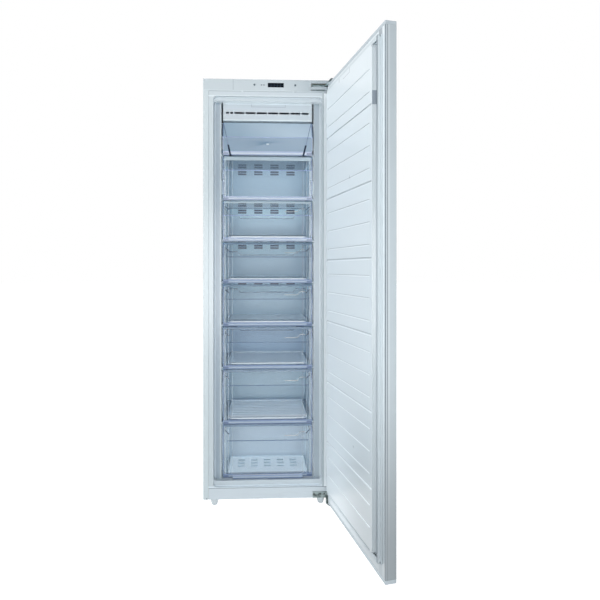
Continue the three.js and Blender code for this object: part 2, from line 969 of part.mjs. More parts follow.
function drawer(index) {
  const last = index === floors.length - 1;
  const low = floors[index] + drawerFootGap;
  const floor = low + drawerFloorRise;
  const back = last ? lowDrawerBack : drawerBack;
  const inner = back - drawerWall;
  const bodyTop = ceilingOf(index) - drawerTopDrop;
  const shell = taperedBlock(index, 0, foldPlane, back, low, bodyTop);
  const outer = bodyBlock(index, clearWall / 2, back, low, bodyTop).intersect(shell);
  const room = taperedBlock(index, drawerWall, foldPlane, inner, floor + drawerWall, bodyTop + past);
  const space = bodyBlock(index, clearWall, inner, floor + drawerWall, bodyTop + past).intersect(room);
  const below = taperedBlock(index, drawerWall, frontPlane + clearWall, inner, low - past, floor);
  const rimOuter = drawerTopHalf + drawerRim;
  const rimLow = bodyTop - drawerWall;
  const parts = [outer.subtract(space).subtract(below)];
  for (const side of [-1, 1]) {
    const rim = block(drawerTopHalf - drawerWall, rimOuter, frontPlane, back, rimLow, bodyTop);
    const stop = block(
      drawerTopHalf - drawerWall,
      drawerTopHalf + stopReach - drawerRim,
      stopFront,
      stopFront + stopLength,
      bodyTop - stopHeight,
      bodyTop,
    );
    const edge = join(rim, stop);
    parts.push(side > 0 ? edge : edge.mirror([1, 0, 0]));
  }
  if (last) {
    const lipFront = footPlane - lipProud;
    parts.push(wide(lipHalf, lipFront, footPlane + clearWall, low, low + clearWall));
    parts.push(wide(lipHalf, lipFront, lipFront + clearWall, low, low + lipHeight));
  }
  if (index === floors.length - 2) {
    const pitch = (back - frontPlane) / (ridgeCount + 1);
    for (let i = 1; i <= ridgeCount; i += 1) {
      const y = frontPlane + i * pitch;
      const base = floor + drawerWall / 2;
      const half = drawerTopHalf - drawerTaper - ridgeMargin;
      parts.push(wide(half, y, y + ridgeWidth, base, base + drawerWall / 2 + ridgeHeight));
    }
  }
  const solid = join(clearFront(index), parts).subtract(rearDip(bodyTop, inner - past, back + past));
  return last ? solid.subtract(drainSlots(floor)) : solid;
}

// The dip in the middle of the rear wall's upper edge
function rearDip(top, y0, y1) {
  const low = top - dipDepth;
  const slope = (dipSlope * past) / dipDepth;
  const outline = [
    [-dipHalf, low],
    [dipHalf, low],
    [dipHalf + dipSlope + slope, top + past],
    [-dipHalf - dipSlope - slope, top + past],
  ];
  return fromFront(outline, y0, y1);
}

function drainSlots(low) {
  const slots = [];
  for (let column = 0; column < drainColumns; column += 1) {
    const x = (column - (drainColumns - 1) / 2) * drainPitch - drainWidth / 2;
    for (const share of drainRowShares) {
      const y = frontPlane + (lowDrawerBack - frontPlane) * share;
      slots.push(block(x, x + drainWidth, y, y + drainLength, low - past, low + past));
    }
  }
  return join(slots);
}

// Door parts, laid out shut

function doorSkin() {
  const low = doorBottom + capHeight + gap;
  const high = doorTop - capHeight - gap;
  const pan = wide(doorHalf, doorOuter, doorInner, low, high);
  const space = wide(doorHalf - sheet, doorOuter + sheet, doorInner + past, low - past, high + past);
  return pan.subtract(space);
}

// The raised panel on the inner side, drawn in by an allowance.
function raisedPanel(shrink, front, back) {
  const baseLow = panelLow + shrink;
  const baseHigh = panelHigh - shrink;
  const half = panelBaseHalf - shrink;
  const height = baseHigh - baseLow;
  const rise = panelProud - shrink;
  const taper = [(panelFaceHalf - shrink) / half, (height - 2 * panelDraft) / height];
  const outline = roundedOutline(half, height, panelRadius - shrink);
  const body = outline.extrude(rise, 0, 0, taper).rotate([-90, 0, 0]);
  const raised = body.translate([0, doorInner, (baseLow + baseHigh) / 2]);
  const root = panel(half, front, back, baseLow, baseHigh, panelRadius - shrink);
  return join(raised, root);
}

function doorGrooves() {
  const face = doorInner + panelProud;
  const cuts = [];
  const low = panelLow + panelDraft;
  const groove = (z, half, width, depth) => {
    if (z - width / 2 > low && z + width < mouthTop) {
      cuts.push(wide(half, face - depth, face + past, z - width / 2, z + width / 2));
    }
  };
  for (let z = mouthTop - majorFirstDrop + majorPitch; z > low; z -= majorPitch) {
    groove(z, panelFaceHalf - majorMargin, majorWidth, majorDepth);
    for (const share of minorShares) {
      groove(z - majorPitch * share, panelFaceHalf - minorMargin, minorWidth, minorDepth);
    }
  }
  return join(cuts);
}

function doorLining() {
  const low = doorBottom + capHeight + gap;
  const high = doorTop - capHeight - gap;
  const flangeBack = doorInner - doorLiningWall;
  const flange = wide(doorHalf - sheet - gap, flangeBack, doorInner, low, high);
  const outer = raisedPanel(0, flangeBack, doorInner);
  const inner = raisedPanel(panelWall, flangeBack - past, doorInner);
  return join(flange, outer).subtract(inner).subtract(doorGrooves());
}

function doorFoam() {
  const low = doorBottom + capHeight + gap;
  const high = doorTop - capHeight - gap;
  const slabBack = doorInner - doorLiningWall - gap;
  const slab = wide(doorHalf - sheet - gap, doorOuter + sheet + gap, slabBack, low, high);
  return join(slab, raisedPanel(panelWall + gap, slabBack - past, doorInner));
}

function gasket() {
  const bottom = panelLow - gasketGap;
  const top = panelHigh + gasketGap;
  const ring = (inset, y0, y1) => {
    const outerHalf = gasketInner + gasketWidth - inset;
    const spread = gasketWidth - inset;
    const outer = panel(outerHalf, y0, y1, bottom - spread, top + spread, gasketRadius);
    const innerHalf = gasketInner + inset;
    const inner = panel(innerHalf, y0 - past, y1 + past, bottom - inset, top + inset, gasketRadius / 2);
    return outer.subtract(inner);
  };
  const base = doorInner + gap;
  const waist = base + gasketReach / 3;
  const head = base + (2 * gasketReach) / 3;
  return join(
    ring(0, base, waist),
    ring(gasketInset, waist - gap, head + gap),
    ring(gasketInset / 2, head, base + gasketReach),
  );
}

function doorCap(low) {
  const cap = wide(doorHalf, doorOuter, doorInner, low, low + capHeight);
  const hole = upright(pinRadius + pinClearance, pivotX, pivotY, low - past, low + capHeight + past);
  return cap.subtract(hole);
}

function blankPlate() {
  const lean = panelLean / panelProud;
  const start = doorInner + (panelProud - blankWidth) / 2;
  const end = start + blankWidth;
  const wallAt = (y) => -panelBaseHalf + (y - doorInner) * lean - gap;
  const outline = new CrossSection([
    [
      [wallAt(start) - blankThickness, start],
      [wallAt(start), start],
      [wallAt(end), end],
      [wallAt(end) - blankThickness, end],
    ],
  ]);
  return outline.extrude(blankHeight).translate([0, 0, mouthTop - blankDrop - blankHeight]);
}

// Hinges: a fixed arm with a pin above and below the door, and a clip on the door's upper end

function upperHinge() {
  const top = armLow + armThickness;
  const rootX = pivotX - armRootInset;
  const rootY = pivotY + armRootBack;
  const root = upright(armRadius, rootX, rootY, armLow, top);
  const tip = upright(armRadius, pivotX, pivotY, armLow, top);
  const plateBack = fasciaDepth + 1.5 * gap;
  const mountBottom = fasciaBottom + mountFoot;
  const mountTop = cabinetHeight - mountHeadGap;
  return join(
    Manifold.hull([root, tip]),
    block(mountLeft, slotRight, rootY, plateBack, armLow, top),
    block(mountLeft, slotRight, plateBack - armThickness, plateBack, mountBottom, mountTop),
    upright(pinRadius, pivotX, pivotY, doorTop - pinDepth, doorTop + pinRise),
  );
}

function lowerHinge() {
  const back = -gap;
  const front = back - lowPlateThickness;
  const left = pivotX - lowPlateReach;
  const right = pivotX + lowPlateEnd;
  const low = footHeight + lowPlateRise;
  const top = low + lowPlateHeight;
  const armLeft = pivotX - lowArmReach;
  const armBottom = doorBottom - lowArmDrop;
  const armTop = armBottom + armThickness;
  const tip = upright(armRadius, pivotX, pivotY, armBottom, armTop);
  const root = block(armLeft, right, front, back, armBottom, armTop);
  const parts = [
    block(left, right, front, back, low, top),
    block(armLeft, right, front, back, armBottom, top),
    Manifold.hull([root, tip]),
    upright(pinRadius, pivotX, pivotY, armBottom, doorBottom + pinDepth),
    upright(washerRadius, pivotX, pivotY, armBottom, doorBottom - gap),
  ];
  for (const share of hingeScrewShares) {
    const x = left + (right - left) * share;
    parts.push(inward(hingeScrewRadius, x, front - hingeScrewProud, back, (low + top) / 2, 16));
  }
  return join(parts);
}

function doorClip() {
  const low = doorTop + gap;
  const high = low + clipRise;
  const footLeft = pivotX - clipFootReach;
  const webLeft = pivotX - clipWebReach;
  const webRight = webLeft + clipThickness;
  const front = pivotY - clipFrontReach;
  const footBack = pivotY + clipFootBack;
  const lidBack = pivotY + clipBackReach;
  const parts = [
    block(footLeft, webRight, front, footBack, low, low + clipThickness),
    block(webLeft, webRight, front, footBack, low, high),
    block(webLeft, pivotX + clipEnd, front, lidBack, high - clipThickness, high),
  ];
  const hole = upright(pinRadius + pinClearance, pivotX, pivotY, low - past, high + past);
  return join(parts).subtract(hole);
}

// Machinery

function compressor() {
  const outline = [[0, potBottom]];
  for (const [radiusShare, heightShare] of potOutlineShares) {
    outline.push([potRadius * radiusShare, potBottom + potHeight * heightShare]);
  }
  outline.push([0, potBottom + potHeight]);
  const pot = Manifold.revolve(new CrossSection([outline]), 36).translate([potX, potY, 0]);
  const plateLow = potBottom - potPlateThickness / 2;
  const plate = block(
    potX - potPlateHalf,
    potX + potPlateHalf,
    potY - potPlateDepth,
    potY + potPlateDepth,
    plateLow,
    plateLow + potPlateThickness,
  );
  const feet = [];
  for (const sideX of [-1, 1]) {
    for (const sideY of [-1, 1]) {
      const x = potX + sideX * (potPlateHalf - potFootInset);
      const y = potY + sideY * (potPlateDepth - potFootInset);
      feet.push(upright(potFootRadius, x, y, bayFloor + gap, potBottom, 16));
    }
  }
  return join(pot, plate, feet);
}

function terminalBox() {
  const left = potX + potRadius + gap;
  const low = potBottom + boxRise;
  return block(left, left + boxWidth, potY - boxDepth / 2, potY + boxDepth / 2, low, low + boxHeight);
}

function drainPan() {
  const low = potBottom + potHeight + gap;
  const pan = (shrink, z0, z1) => {
    const half = panHalf - shrink;
    const depth = panDepth - shrink;
    return block(potX - half, potX + half, potY - depth, potY + depth, z0, z1);
  };
  return pan(0, low, low + panHeight).subtract(pan(panWall, low + panWall, low + panHeight + past));
}

function condenser() {
  const wall = casingDepth + gap;
  const front = wall + coilStandOff;
  const middle = front + coilSheet;
  const half = halfWidth - coilSideGap;
  const low = bayTop + coilFootRise;
  const top = cabinetHeight - coilHeadGap;
  const pitch = (top - low - 2 * coilMargin) / (coilRuns - 1);
  const reach = half - coilTubeInset;
  const tailHeight = potBottom + tailRise;
  const parts = [wide(half, front, front + coilSheet, low, top)];
  for (let i = 0; i < coilRuns; i += 1) {
    const z = low + coilMargin + i * pitch;
    parts.push(across(coilTubeRadius, -reach, reach, middle, z, 8));
    if (i < coilRuns - 1) {
      const x = i % 2 === 0 ? -reach : reach;
      parts.push(upright(coilTubeRadius, x, middle, z - coilTubeRadius, z + pitch + coilTubeRadius, 8));
    }
  }
  parts.push(upright(coilTubeRadius, reach, middle, tailHeight - coilTubeRadius, low + coilMargin, 8));
  parts.push(inward(coilTubeRadius, reach, potY, middle, tailHeight, 8));
  parts.push(across(coilTubeRadius, potX + tailGap, reach + coilTubeRadius, potY, tailHeight, 8));
  for (const x of [-reach, reach - coilSpacer]) {
    for (const z of [low, top - coilSpacer]) {
      parts.push(block(x, x + coilSpacer, wall, front + coilSheet / 2, z, z + coilSpacer));
    }
  }
  return join(parts);
}

// Every piece with its colour and finish

const looks = {
  paint: { color: 0xe6ebef, roughness: 0.35, metalness: 0 },
  zinc: { color: 0xb7bcc0, roughness: 0.45, metalness: 1 },
  foam: { color: 0xe6dcae, roughness: 0.9, metalness: 0 },
  lining: { color: 0xdfe8ee, roughness: 0.3, metalness: 0 },
  white: { color: 0xe9eef1, roughness: 0.35, metalness: 0 },
  clear: { color: 0xa9c0d3, roughness: 0.12, metalness: 0 },
  glass: { color: 0xa8c4cf, roughness: 0.05, metalness: 0 },
  dark: { color: 0x14181d, roughness: 0.15, metalness: 0 },
  black: { color: 0x1c1d1f, roughness: 0.5, metalness: 0 },
  seal: { color: 0xd4dce2, roughness: 0.6, metalness: 0 },
  board: { color: 0x2f6b46, roughness: 0.6, metalness: 0 },
  hinge: { color: 0x8d9894, roughness: 0.4, metalness: 1 },
  fins: { color: 0xc4c9cd, roughness: 0.35, metalness: 1 },
};

const fixed = [
  ["side_panel_left", sidePanel(-1), looks.paint],
  ["side_panel_right", sidePanel(1), looks.paint],
  ["top_panel", topPanel(), looks.paint],
  ["back_panel", backPanel(), looks.zinc],
  ["base_tray", baseTray(), looks.zinc],
  ["insulation", insulation(), looks.foam],
  ["lining", lining(), looks.lining],
  ["kick_panel", kickPanel(), looks.white],
  ["fascia", fascia(), looks.white],
  ["display_window", displayBlock(0, 0, windowThickness), looks.dark],
  ["lamp_strip", lampBlock(0, 0, windowThickness), looks.clear],
  ["button_left", button(buttonPlaces[0]), looks.white],
  ["button_right", button(buttonPlaces[1]), looks.white],
  ["control_board", controlBoard(), looks.board],
  ["foot_front_left", foot(-footSpan, footFront), looks.white],
  ["foot_front_right", foot(footSpan, footFront), looks.white],
  ["foot_rear_left", foot(-footSpan, footRear), looks.white],
  ["foot_rear_right", foot(footSpan, footRear), looks.white],
  ["air_cover", airCover(), looks.white],
  ["cooling_block", coolingBlock(), looks.fins],
  ["fan_shroud", fanShroud(), looks.white],
  ["fan_motor", fanMotor(), looks.black],
  ["fan_rotor", fanRotor(), looks.white],
  ["air_duct", airDuct(), looks.white],
  ["upper_hinge", upperHinge(), looks.hinge],
  ["lower_hinge", lowerHinge(), looks.hinge],
  ["compressor", compressor(), looks.black],
  ["terminal_box", terminalBox(), looks.black],
  ["drain_pan", drainPan(), looks.black],
  ["condenser", condenser(), looks.black],
];

floors.forEach((_, index) => {
  const number = index + 1;
  if (number < floors.length) {
    fixed.push([`glass_shelf_${number}`, glassShelf(index), looks.glass]);
  }
  if (index < flapCount) {
    fixed.push([`flap_${number}`, flap(index), looks.clear]);
  } else {
    fixed.push([`drawer_${number - flapCount}`, drawer(index), looks.clear]);
  }
});

const hung = [
  ["door_skin", doorSkin(), looks.paint],
  ["door_foam", doorFoam(), looks.foam],
  ["door_lining", doorLining(), looks.lining],
  ["door_gasket", gasket(), looks.seal],
  ["door_cap_top", doorCap(doorTop - capHeight), looks.white],
  ["door_cap_bottom", doorCap(doorBottom), looks.white],
  ["door_clip", doorClip(), looks.hinge],
  ["blank_plate", blankPlate(), looks.white],
];

function turnedOpen(solid) {
  return solid
    .translate([-pivotX, -pivotY, 0])
    .rotate([0, 0, doorOpenAngle])
    .translate([pivotX, pivotY, 0]);
}

const pieces = [...fixed, ...hung.map(([name, solid, look]) => [name, turnedOpen(solid), look])];

// The middle of the footprint, door included
function footprintMiddle(list) {
  const low = [Infinity, Infinity];
  const high = [-Infinity, -Infinity];
  for (const [, solid] of list) {
    const { min, max } = solid.boundingBox();
    for (const i of [0, 1]) {
      low[i] = Math.min(low[i], min[i]);
      high[i] = Math.max(high[i], max[i]);
    }
  }
  return [(low[0] + high[0]) / 2, (low[1] + high[1]) / 2];
}

function meshOf(name, solid, look) {
  const data = solid.getMesh();
  const geometry = new THREE.BufferGeometry();
  geometry.setAttribute("position", new THREE.BufferAttribute(new Float32Array(data.vertProperties), 3));
  geometry.setIndex(Array.from(data.triVerts));
  geometry.computeVertexNormals();
  const mesh = new THREE.Mesh(geometry, new THREE.MeshStandardMaterial(look));
  mesh.name = name;
  return mesh;
}

const freezer = new THREE.Group();
freezer.name = "built_in_freezer";
const [middleX, middleY] = footprintMiddle(pieces);
for (const [name, solid, look] of pieces) {
  freezer.add(meshOf(name, solid.translate([-middleX, -middleY, 0]), look));
}

export default freezer;
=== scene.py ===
import json
import math

import bmesh
import bpy
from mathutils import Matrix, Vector


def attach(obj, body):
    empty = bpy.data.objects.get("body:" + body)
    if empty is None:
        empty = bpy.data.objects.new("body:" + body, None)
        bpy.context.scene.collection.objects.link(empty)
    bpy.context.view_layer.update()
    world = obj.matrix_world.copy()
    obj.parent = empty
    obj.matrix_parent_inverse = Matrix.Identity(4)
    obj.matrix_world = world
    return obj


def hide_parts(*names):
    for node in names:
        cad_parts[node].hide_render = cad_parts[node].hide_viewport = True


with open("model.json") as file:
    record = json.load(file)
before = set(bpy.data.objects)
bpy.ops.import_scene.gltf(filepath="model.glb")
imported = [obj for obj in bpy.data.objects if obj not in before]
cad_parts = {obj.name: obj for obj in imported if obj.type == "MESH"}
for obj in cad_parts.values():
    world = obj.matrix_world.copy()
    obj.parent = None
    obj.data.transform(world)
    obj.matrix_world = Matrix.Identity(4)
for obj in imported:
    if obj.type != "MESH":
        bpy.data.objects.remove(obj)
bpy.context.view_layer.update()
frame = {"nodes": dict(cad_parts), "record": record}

# Studio: a plain pale floor, a white surround that shines for the camera, and soft lamps.
# The camera stands in front at chest height, a little left of the cabinet's middle, and looks
# almost straight on, so that upright edges stay upright.

MIDDLE = -0.0601695   # the cabinet's middle across, in the frame
FRONT = 0.023065      # the casing's front plane, in the frame
NOD = 0.0004          # how far the camera looks down, in radians
SWING = 0.04152       # how far it is turned to the right
FLOOR_REACH = 30
FLOOR_GLOW = 1.92     # how strongly the floor shines in what the camera sees plainly
GLOW_SHARE = 0.5
WHITE = (1.0, 1.0, 1.0)
DIM = (0.22, 0.22, 0.22)

camera = bpy.data.objects.new("camera", bpy.data.cameras.new("camera"))
bpy.context.scene.collection.objects.link(camera)
bpy.context.scene.camera = camera
camera.data.sensor_width = 36
camera.data.lens = 28.835
camera.data.shift_x = 0.03518
camera.data.shift_y = -0.05153
camera.data.clip_end = 2 * FLOOR_REACH
camera.location = (-0.09743, -1.97826, 0.98661)
camera.rotation_euler = (math.radians(90) - NOD, 0, -SWING)


class Value:
    """A socket of a material that is reckoned with like a number."""

    def __init__(self, look, socket):
        self.look = look
        self.socket = socket

    def reckon(self, operation, first, second=0.0):
        return self.look.node("ShaderNodeMath", {0: first, 1: second}, operation=operation)

    def __add__(self, other):
        return self.reckon("ADD", self, other)

    def __sub__(self, other):
        return self.reckon("SUBTRACT", self, other)

    def __rsub__(self, other):
        return self.reckon("SUBTRACT", other, self)

    def __mul__(self, other):
        return self.reckon("MULTIPLY", self, other)

    def __gt__(self, other):
        return self.reckon("GREATER_THAN", self, other)

    def __lt__(self, other):
        return self.reckon("LESS_THAN", self, other)

    def __mod__(self, other):
        return self.reckon("FLOORED_MODULO", self, other)

    def __or__(self, other):
        return self.reckon("MAXIMUM", self, other)

    def __abs__(self):
        return self.reckon("ABSOLUTE", self)

    __radd__ = __add__

    def within(self, low, high):
        return (self > low) * (self < high)

    def near(self, middle, reach):
        return abs(self - middle) < reach

    def ramp(self, start, end):
        """0 before start, 1 past end and a smooth change between."""
        sockets = {0: self, 1: start, 2: end}
        return self.look.node("ShaderNodeMapRange", sockets, interpolation_type="SMOOTHSTEP")


class Look:
    """A material, or the surround, built node by node."""

    def __init__(self, name, owner=None, **finish):
        self.material = owner or bpy.data.materials.new(name)
        self.material.use_nodes = True
        self.tree = self.material.node_tree
        self.shader = self.tree.nodes.get("Principled BSDF")
        self.finish(**finish)

    def fill(self, socket, value):
        if isinstance(value, Value):
            self.tree.links.new(value.socket, socket)
        elif isinstance(value, tuple) and socket.type == "RGBA":
            socket.default_value = (*value, 1)
        else:
            socket.default_value = value

    def finish(self, **sockets):
        for name, value in sockets.items():
            self.fill(self.shader.inputs[name.replace("_", " ")], value)

    def node(self, kind, sockets=None, out=0, **settings):
        made = self.tree.nodes.new(kind)
        for name, value in settings.items():
            setattr(made, name, value)
        for key, value in (sockets or {}).items():
            self.fill(made.inputs[key], value)
        return Value(self, made.outputs[out])

    def output(self, surface):
        end = next(n for n in self.tree.nodes if n.type.startswith("OUTPUT"))
        self.fill(end.inputs["Surface"], surface)

    def blend(self, share, first, second):
        sockets = {0: share, 6: first, 7: second}
        return self.node("ShaderNodeMix", sockets, out=2, data_type="RGBA")

    def place(self):
        """Where a point is on its piece at rest, from the cabinet's front middle, in metres."""
        sockets = {0: self.node("ShaderNodeTexCoord", out=3), 1: (MIDDLE, FRONT, 0)}
        return self.node("ShaderNodeVectorMath", sockets, operation="SUBTRACT")

    def parts(self, vector):
        return [self.node("ShaderNodeSeparateXYZ", {0: vector}, out=i) for i in range(3)]

    def facing(self):
        """Which way the surface faces on its own piece, across, back and up."""
        return self.parts(self.node("ShaderNodeTexCoord", out=1))

    def noise(self, scale, detail=2.0):
        sockets = {"Vector": self.place(), "Scale": scale, "Detail": detail}
        return self.node("ShaderNodeTexNoise", sockets)

    def retint(self, *marks):
        """Lay marks over the base colour, each a share from 0 to 1 and its colour."""
        colour = Value(self, self.shader.inputs["Base Color"].links[0].from_socket)
        for share, mark in marks:
            colour = self.blend(share, colour, mark)
        self.finish(Base_Color=colour)

    def bump(self, height, strength, depth):
        sockets = {"Height": height, "Strength": strength, "Distance": depth}
        self.finish(Normal=self.node("ShaderNodeBump", sockets))


def any_of(masks):
    """1 where any of the masks is 1."""
    joined, *others = masks
    for other in others:
        joined = joined | other
    return joined


def seen_plainly(look):
    """1 for what the camera sees straight, in a mirror or through glass, else 0."""
    straight, mirrored, through_glass = 0, 3, 6
    return any_of(
        look.node("ShaderNodeLightPath", out=way) for way in (straight, mirrored, through_glass)
    )


surround = Look("surround", bpy.data.worlds.new("surround"))
bpy.context.scene.world = surround.material
shade = surround.blend(seen_plainly(surround), DIM, WHITE)
surround.output(surround.node("ShaderNodeBackground", {"Color": shade, "Strength": 1.0}))

floor_mesh = bpy.data.meshes.new("floor")
corners = [(-1, -1), (1, -1), (1, 1), (-1, 1)]
floor_corners = [(across * FLOOR_REACH, back * FLOOR_REACH, 0) for across, back in corners]
floor_mesh.from_pydata(floor_corners, [], [(0, 1, 2, 3)])
floor = bpy.data.objects.new("floor", floor_mesh)
bpy.context.scene.collection.objects.link(floor)
floor_look = Look("floor_pale", Roughness=0.9)
pale = floor_look.blend(floor_look.noise(40), (0.90, 0.91, 0.92), (0.93, 0.94, 0.95))
floor_look.finish(Base_Color=pale)
glow = floor_look.node("ShaderNodeEmission", {"Color": WHITE, "Strength": FLOOR_GLOW})
matt = Value(floor_look, floor_look.shader.outputs[0])
share = seen_plainly(floor_look) * GLOW_SHARE
floor_look.output(floor_look.node("ShaderNodeMixShader", {0: share, 1: matt, 2: glow}))
floor_mesh.materials.append(floor_look.material)


def lamp(name, place, aim, size, power):
    data = bpy.data.lights.new(name, "AREA")
    data.shape = "RECTANGLE"
    data.size, data.size_y = size
    data.energy = power
    made = bpy.data.objects.new(name, data)
    bpy.context.scene.collection.objects.link(made)
    made.location = place
    made.rotation_euler = (Vector(aim) - Vector(place)).to_track_quat("-Z", "Y").to_euler()


lamp("soft_front", (-0.2, -3.3, 0.9), aim=(0, 0, 0.9), size=(2.4, 1.4), power=62)
lamp("soft_high", (-0.5, -2.7, 2.6), aim=(0, 0, 0.5), size=(2.2, 1.0), power=20)
lamp("soft_left", (-3.2, -0.2, 2.5), aim=(0.25, -0.3, 1.2), size=(1.2, 2.0), power=88)


# Casing: thin steel sheet, bent and powder painted white, with a galvanised sheet at the back.
# The sheets are folded on a press, and the paint has a fine orange peel that only shows where
# light rakes over it. A dark screw head shows low on the left front edge.

PAINT = (0.455, 0.525, 0.555)
ZINC = (0.56, 0.59, 0.61)
SHEET_FRONT = 0.001           # depth that still counts as a sheet's front edge
SCREW_ACROSS = -0.2534
SCREW_UP = 0.0335
SCREW_HALF = 0.0022


def dress(piece, look):
    piece.data.materials.clear()
    piece.data.materials.append(look.material)


def painted(name, tint, peel=0.00012):
    look = Look(name, Coat_Weight=0.25, Coat_Roughness=0.22)
    lighter = tuple(min(1, c * 1.02) for c in tint)
    look.finish(Base_Color=look.blend(look.noise(2.2, 3), tint, lighter))
    look.finish(Roughness=look.noise(14, 3) * 0.12 + 0.26)
    look.bump(look.noise(420, 2), 0.35, peel)
    return look


def galvanised(name):
    look = Look(name, Metallic=1.0)
    spangle = look.node("ShaderNodeTexVoronoi", {"Vector": look.place(), "Scale": 70}, out=1)
    grey = look.node("ShaderNodeRGBToBW", {0: spangle})
    look.finish(Base_Color=look.blend(grey, tuple(c * 0.86 for c in ZINC), ZINC))
    look.finish(Roughness=grey * 0.18 + 0.38)
    look.bump(look.noise(60, 3), 0.2, 0.0004)
    return look


casing_paint = painted("casing_paint", PAINT)
x, y, z = casing_paint.parts(casing_paint.place())
screw = x.near(SCREW_ACROSS, SCREW_HALF) * z.near(SCREW_UP, SCREW_HALF) * (y < SHEET_FRONT)
casing_paint.retint((screw, (0.06, 0.08, 0.10)))
for node in ("side_panel_left", "side_panel_right", "top_panel"):
    dress(frame["nodes"][node], casing_paint)
zinc = galvanised("zinc_sheet")
for node in ("back_panel", "base_tray"):
    dress(frame["nodes"][node], zinc)


# Feet and kick panel: the feet are moulded in pale plastic and screw into the base tray; the kick
# panel is a flat moulding that closes the front under the lining, in the same satin plastic as
# the rest of the front. From here on, pieces that show round edges are softened copies.

PLASTIC = (0.53, 0.59, 0.62)
KICK = (0.49, 0.555, 0.60)
KICK_JOINT = 0.0752           # height at which the shade of its joint with the lining begins
WELD = 1e-6
FLAT = math.radians(1)        # edges flatter than this vanish
SHARP = math.radians(32)      # and edges sharper than this are rounded


def body_holding(node):
    return next(b for b, nodes in frame["record"]["behaviour"]["bodies"].items() if node in nodes)


def softened(node, radius, turns=2):
    """The same piece with its corners rounded, shown in place of the plain one."""
    plain = frame["nodes"][node]
    made = bpy.data.objects.new(node + "_soft", plain.data.copy())
    bpy.context.scene.collection.objects.link(made)
    shape = bmesh.new()
    shape.from_mesh(made.data)
    bmesh.ops.remove_doubles(shape, verts=shape.verts, dist=WELD)
    bmesh.ops.dissolve_limit(shape, angle_limit=FLAT, verts=shape.verts, edges=shape.edges)
    shape.to_mesh(made.data)
    shape.free()
    kept_normals = made.data.attributes.get("custom_normal")
    if kept_normals:
        made.data.attributes.remove(kept_normals)
    for face in made.data.polygons:
        face.use_smooth = True
    edge = made.modifiers.new("edges", "BEVEL")
    edge.width = radius
    edge.segments = turns
    edge.limit_method = "ANGLE"
    edge.angle_limit = SHARP
    edge.use_clamp_overlap = True
    edge.harden_normals = True
    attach(made, body_holding(node))
    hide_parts(node)
    return made


def moulded(name, tint, dull=0.36, grain=700, depth=0.00006):
    look = Look(name)
    darker = tuple(c * 0.965 for c in tint)
    look.finish(Base_Color=look.blend(look.noise(3.5, 4), darker, tint))
    look.finish(Roughness=look.noise(25, 3) * 0.1 + (dull - 0.05))
    look.bump(look.noise(grain, 2), 0.3, depth)
    return look


white_plastic = moulded("white_plastic", PLASTIC)
for node in ("foot_front_left", "foot_front_right", "foot_rear_left", "foot_rear_right"):
    dress(softened(node, 0.0006), white_plastic)
kick_look = moulded("kick_plastic", KICK, 0.4)
x, y, z = kick_look.parts(kick_look.place())
# painted shade over the top of the kick panel, where it meets the lining
kick_look.retint((z > KICK_JOINT, (0.17, 0.21, 0.25)))
dress(softened("kick_panel", 0.0009), kick_look)


# Foam: rigid yellowish polyurethane, poured between casing and lining and cut square at the bay,
# with open cells on every face that is left bare.

foam = Look("poured_foam", Roughness=0.92)
cells = foam.node("ShaderNodeTexVoronoi", {"Vector": foam.place(), "Scale": 340})
foam.finish(Base_Color=foam.blend(foam.noise(18, 4), (0.72, 0.66, 0.44), (0.82, 0.77, 0.56)))
foam.bump(cells, 0.6, 0.0008)
dress(frame["nodes"]["insulation"], foam)


# Lining: one sheet of pale polystyrene drawn down by vacuum over a form, with a flat front frame,
# a rebated mouth with round corners, ledges for the shelves and sockets for the flaps' pins.
# The drawn sheet is satin and slightly wavy.

LINING = (0.445, 0.51, 0.55)
FLANGE = 0.0012                 # depth at which the flat front frame ends
FLANGE_RIM = 0.2446             # half its width, less the shaded rim
FLANGE_HEAD = 1.7232
SEAL_LINE = 0.2350              # where the right side of the frame turns from dim to light
SEAL_HEAD = 1.72
REBATE_EDGE = 0.2265
REBATE = (-0.001, 0.0125)       # depths of the rebate round the mouth
REBATE_FOOT = (0.0785, 0.0845)
REBATE_HEAD = (1.7015, 1.7075)
MOUTH_SIDES = (0.001, 0.0355)   # depths of the mouth's sides, which end in a step
MOUTH_SLOPE = (0.0175, 0.0355)  # and of its sloping part all round
MOUTH_HEIGHTS = (0.105, 1.685)
MOUTH_TURN = (0.2215, 0.2165)   # where the mouth's right wall turns from light to shade
CEILING_DEPTHS = (0.0012, 0.0355)
STEP = (0.0340, 0.0355)
LEFT_STEP = -0.1925
LEFT_STEP_SHADE = (-0.2200, -0.2165)
LEFT_STEP_LIGHT = (-0.2050, -0.1990)
RIGHT_STEP = (0.1925, 0.2190)
SPACE_FRONT = 0.05              # depth at which the cold space begins
SPACE_HALF = 0.2
NEAR_WALL = (0.1945, 0.1985)    # the wall beside the drawers, seen at a glancing angle
NEAR_WALL_FRONT = 0.036
LIT_WALL = (0.0370, 0.11)
LIT_WALL_HIGH = (0.0370, 0.30)
COVER_FOOT = 1.60
SIXTH_SPACE = (0.571, 0.753)
LAST_SPACE = 0.334
LEDGE_DEPTHS = (0.05, 0.085)
LEDGES = (0.1715, 0.1935)
BEHIND_DUCT = 0.394
DUCT_HALF = 0.173
DUCT_HEIGHTS = (0.346, 1.70)
DUCT_UPPER = (1.30, 1.70)
# painted shade, standing in for the dark inside the duct
PAINTED_DUCT_SHADE = (0.035, 0.045, 0.085)


def drawn_sheet(name, tint):
    look = Look(name, Coat_Weight=0.3, Coat_Roughness=0.18)
    cooler = (tint[0] * 0.975, tint[1] * 0.985, tint[2])
    look.finish(Base_Color=look.blend(look.noise(4, 3), cooler, tint))
    look.finish(Roughness=look.noise(9, 3) * 0.12 + 0.24)
    look.bump(look.noise(28, 2), 0.06, 0.0003)
    return look


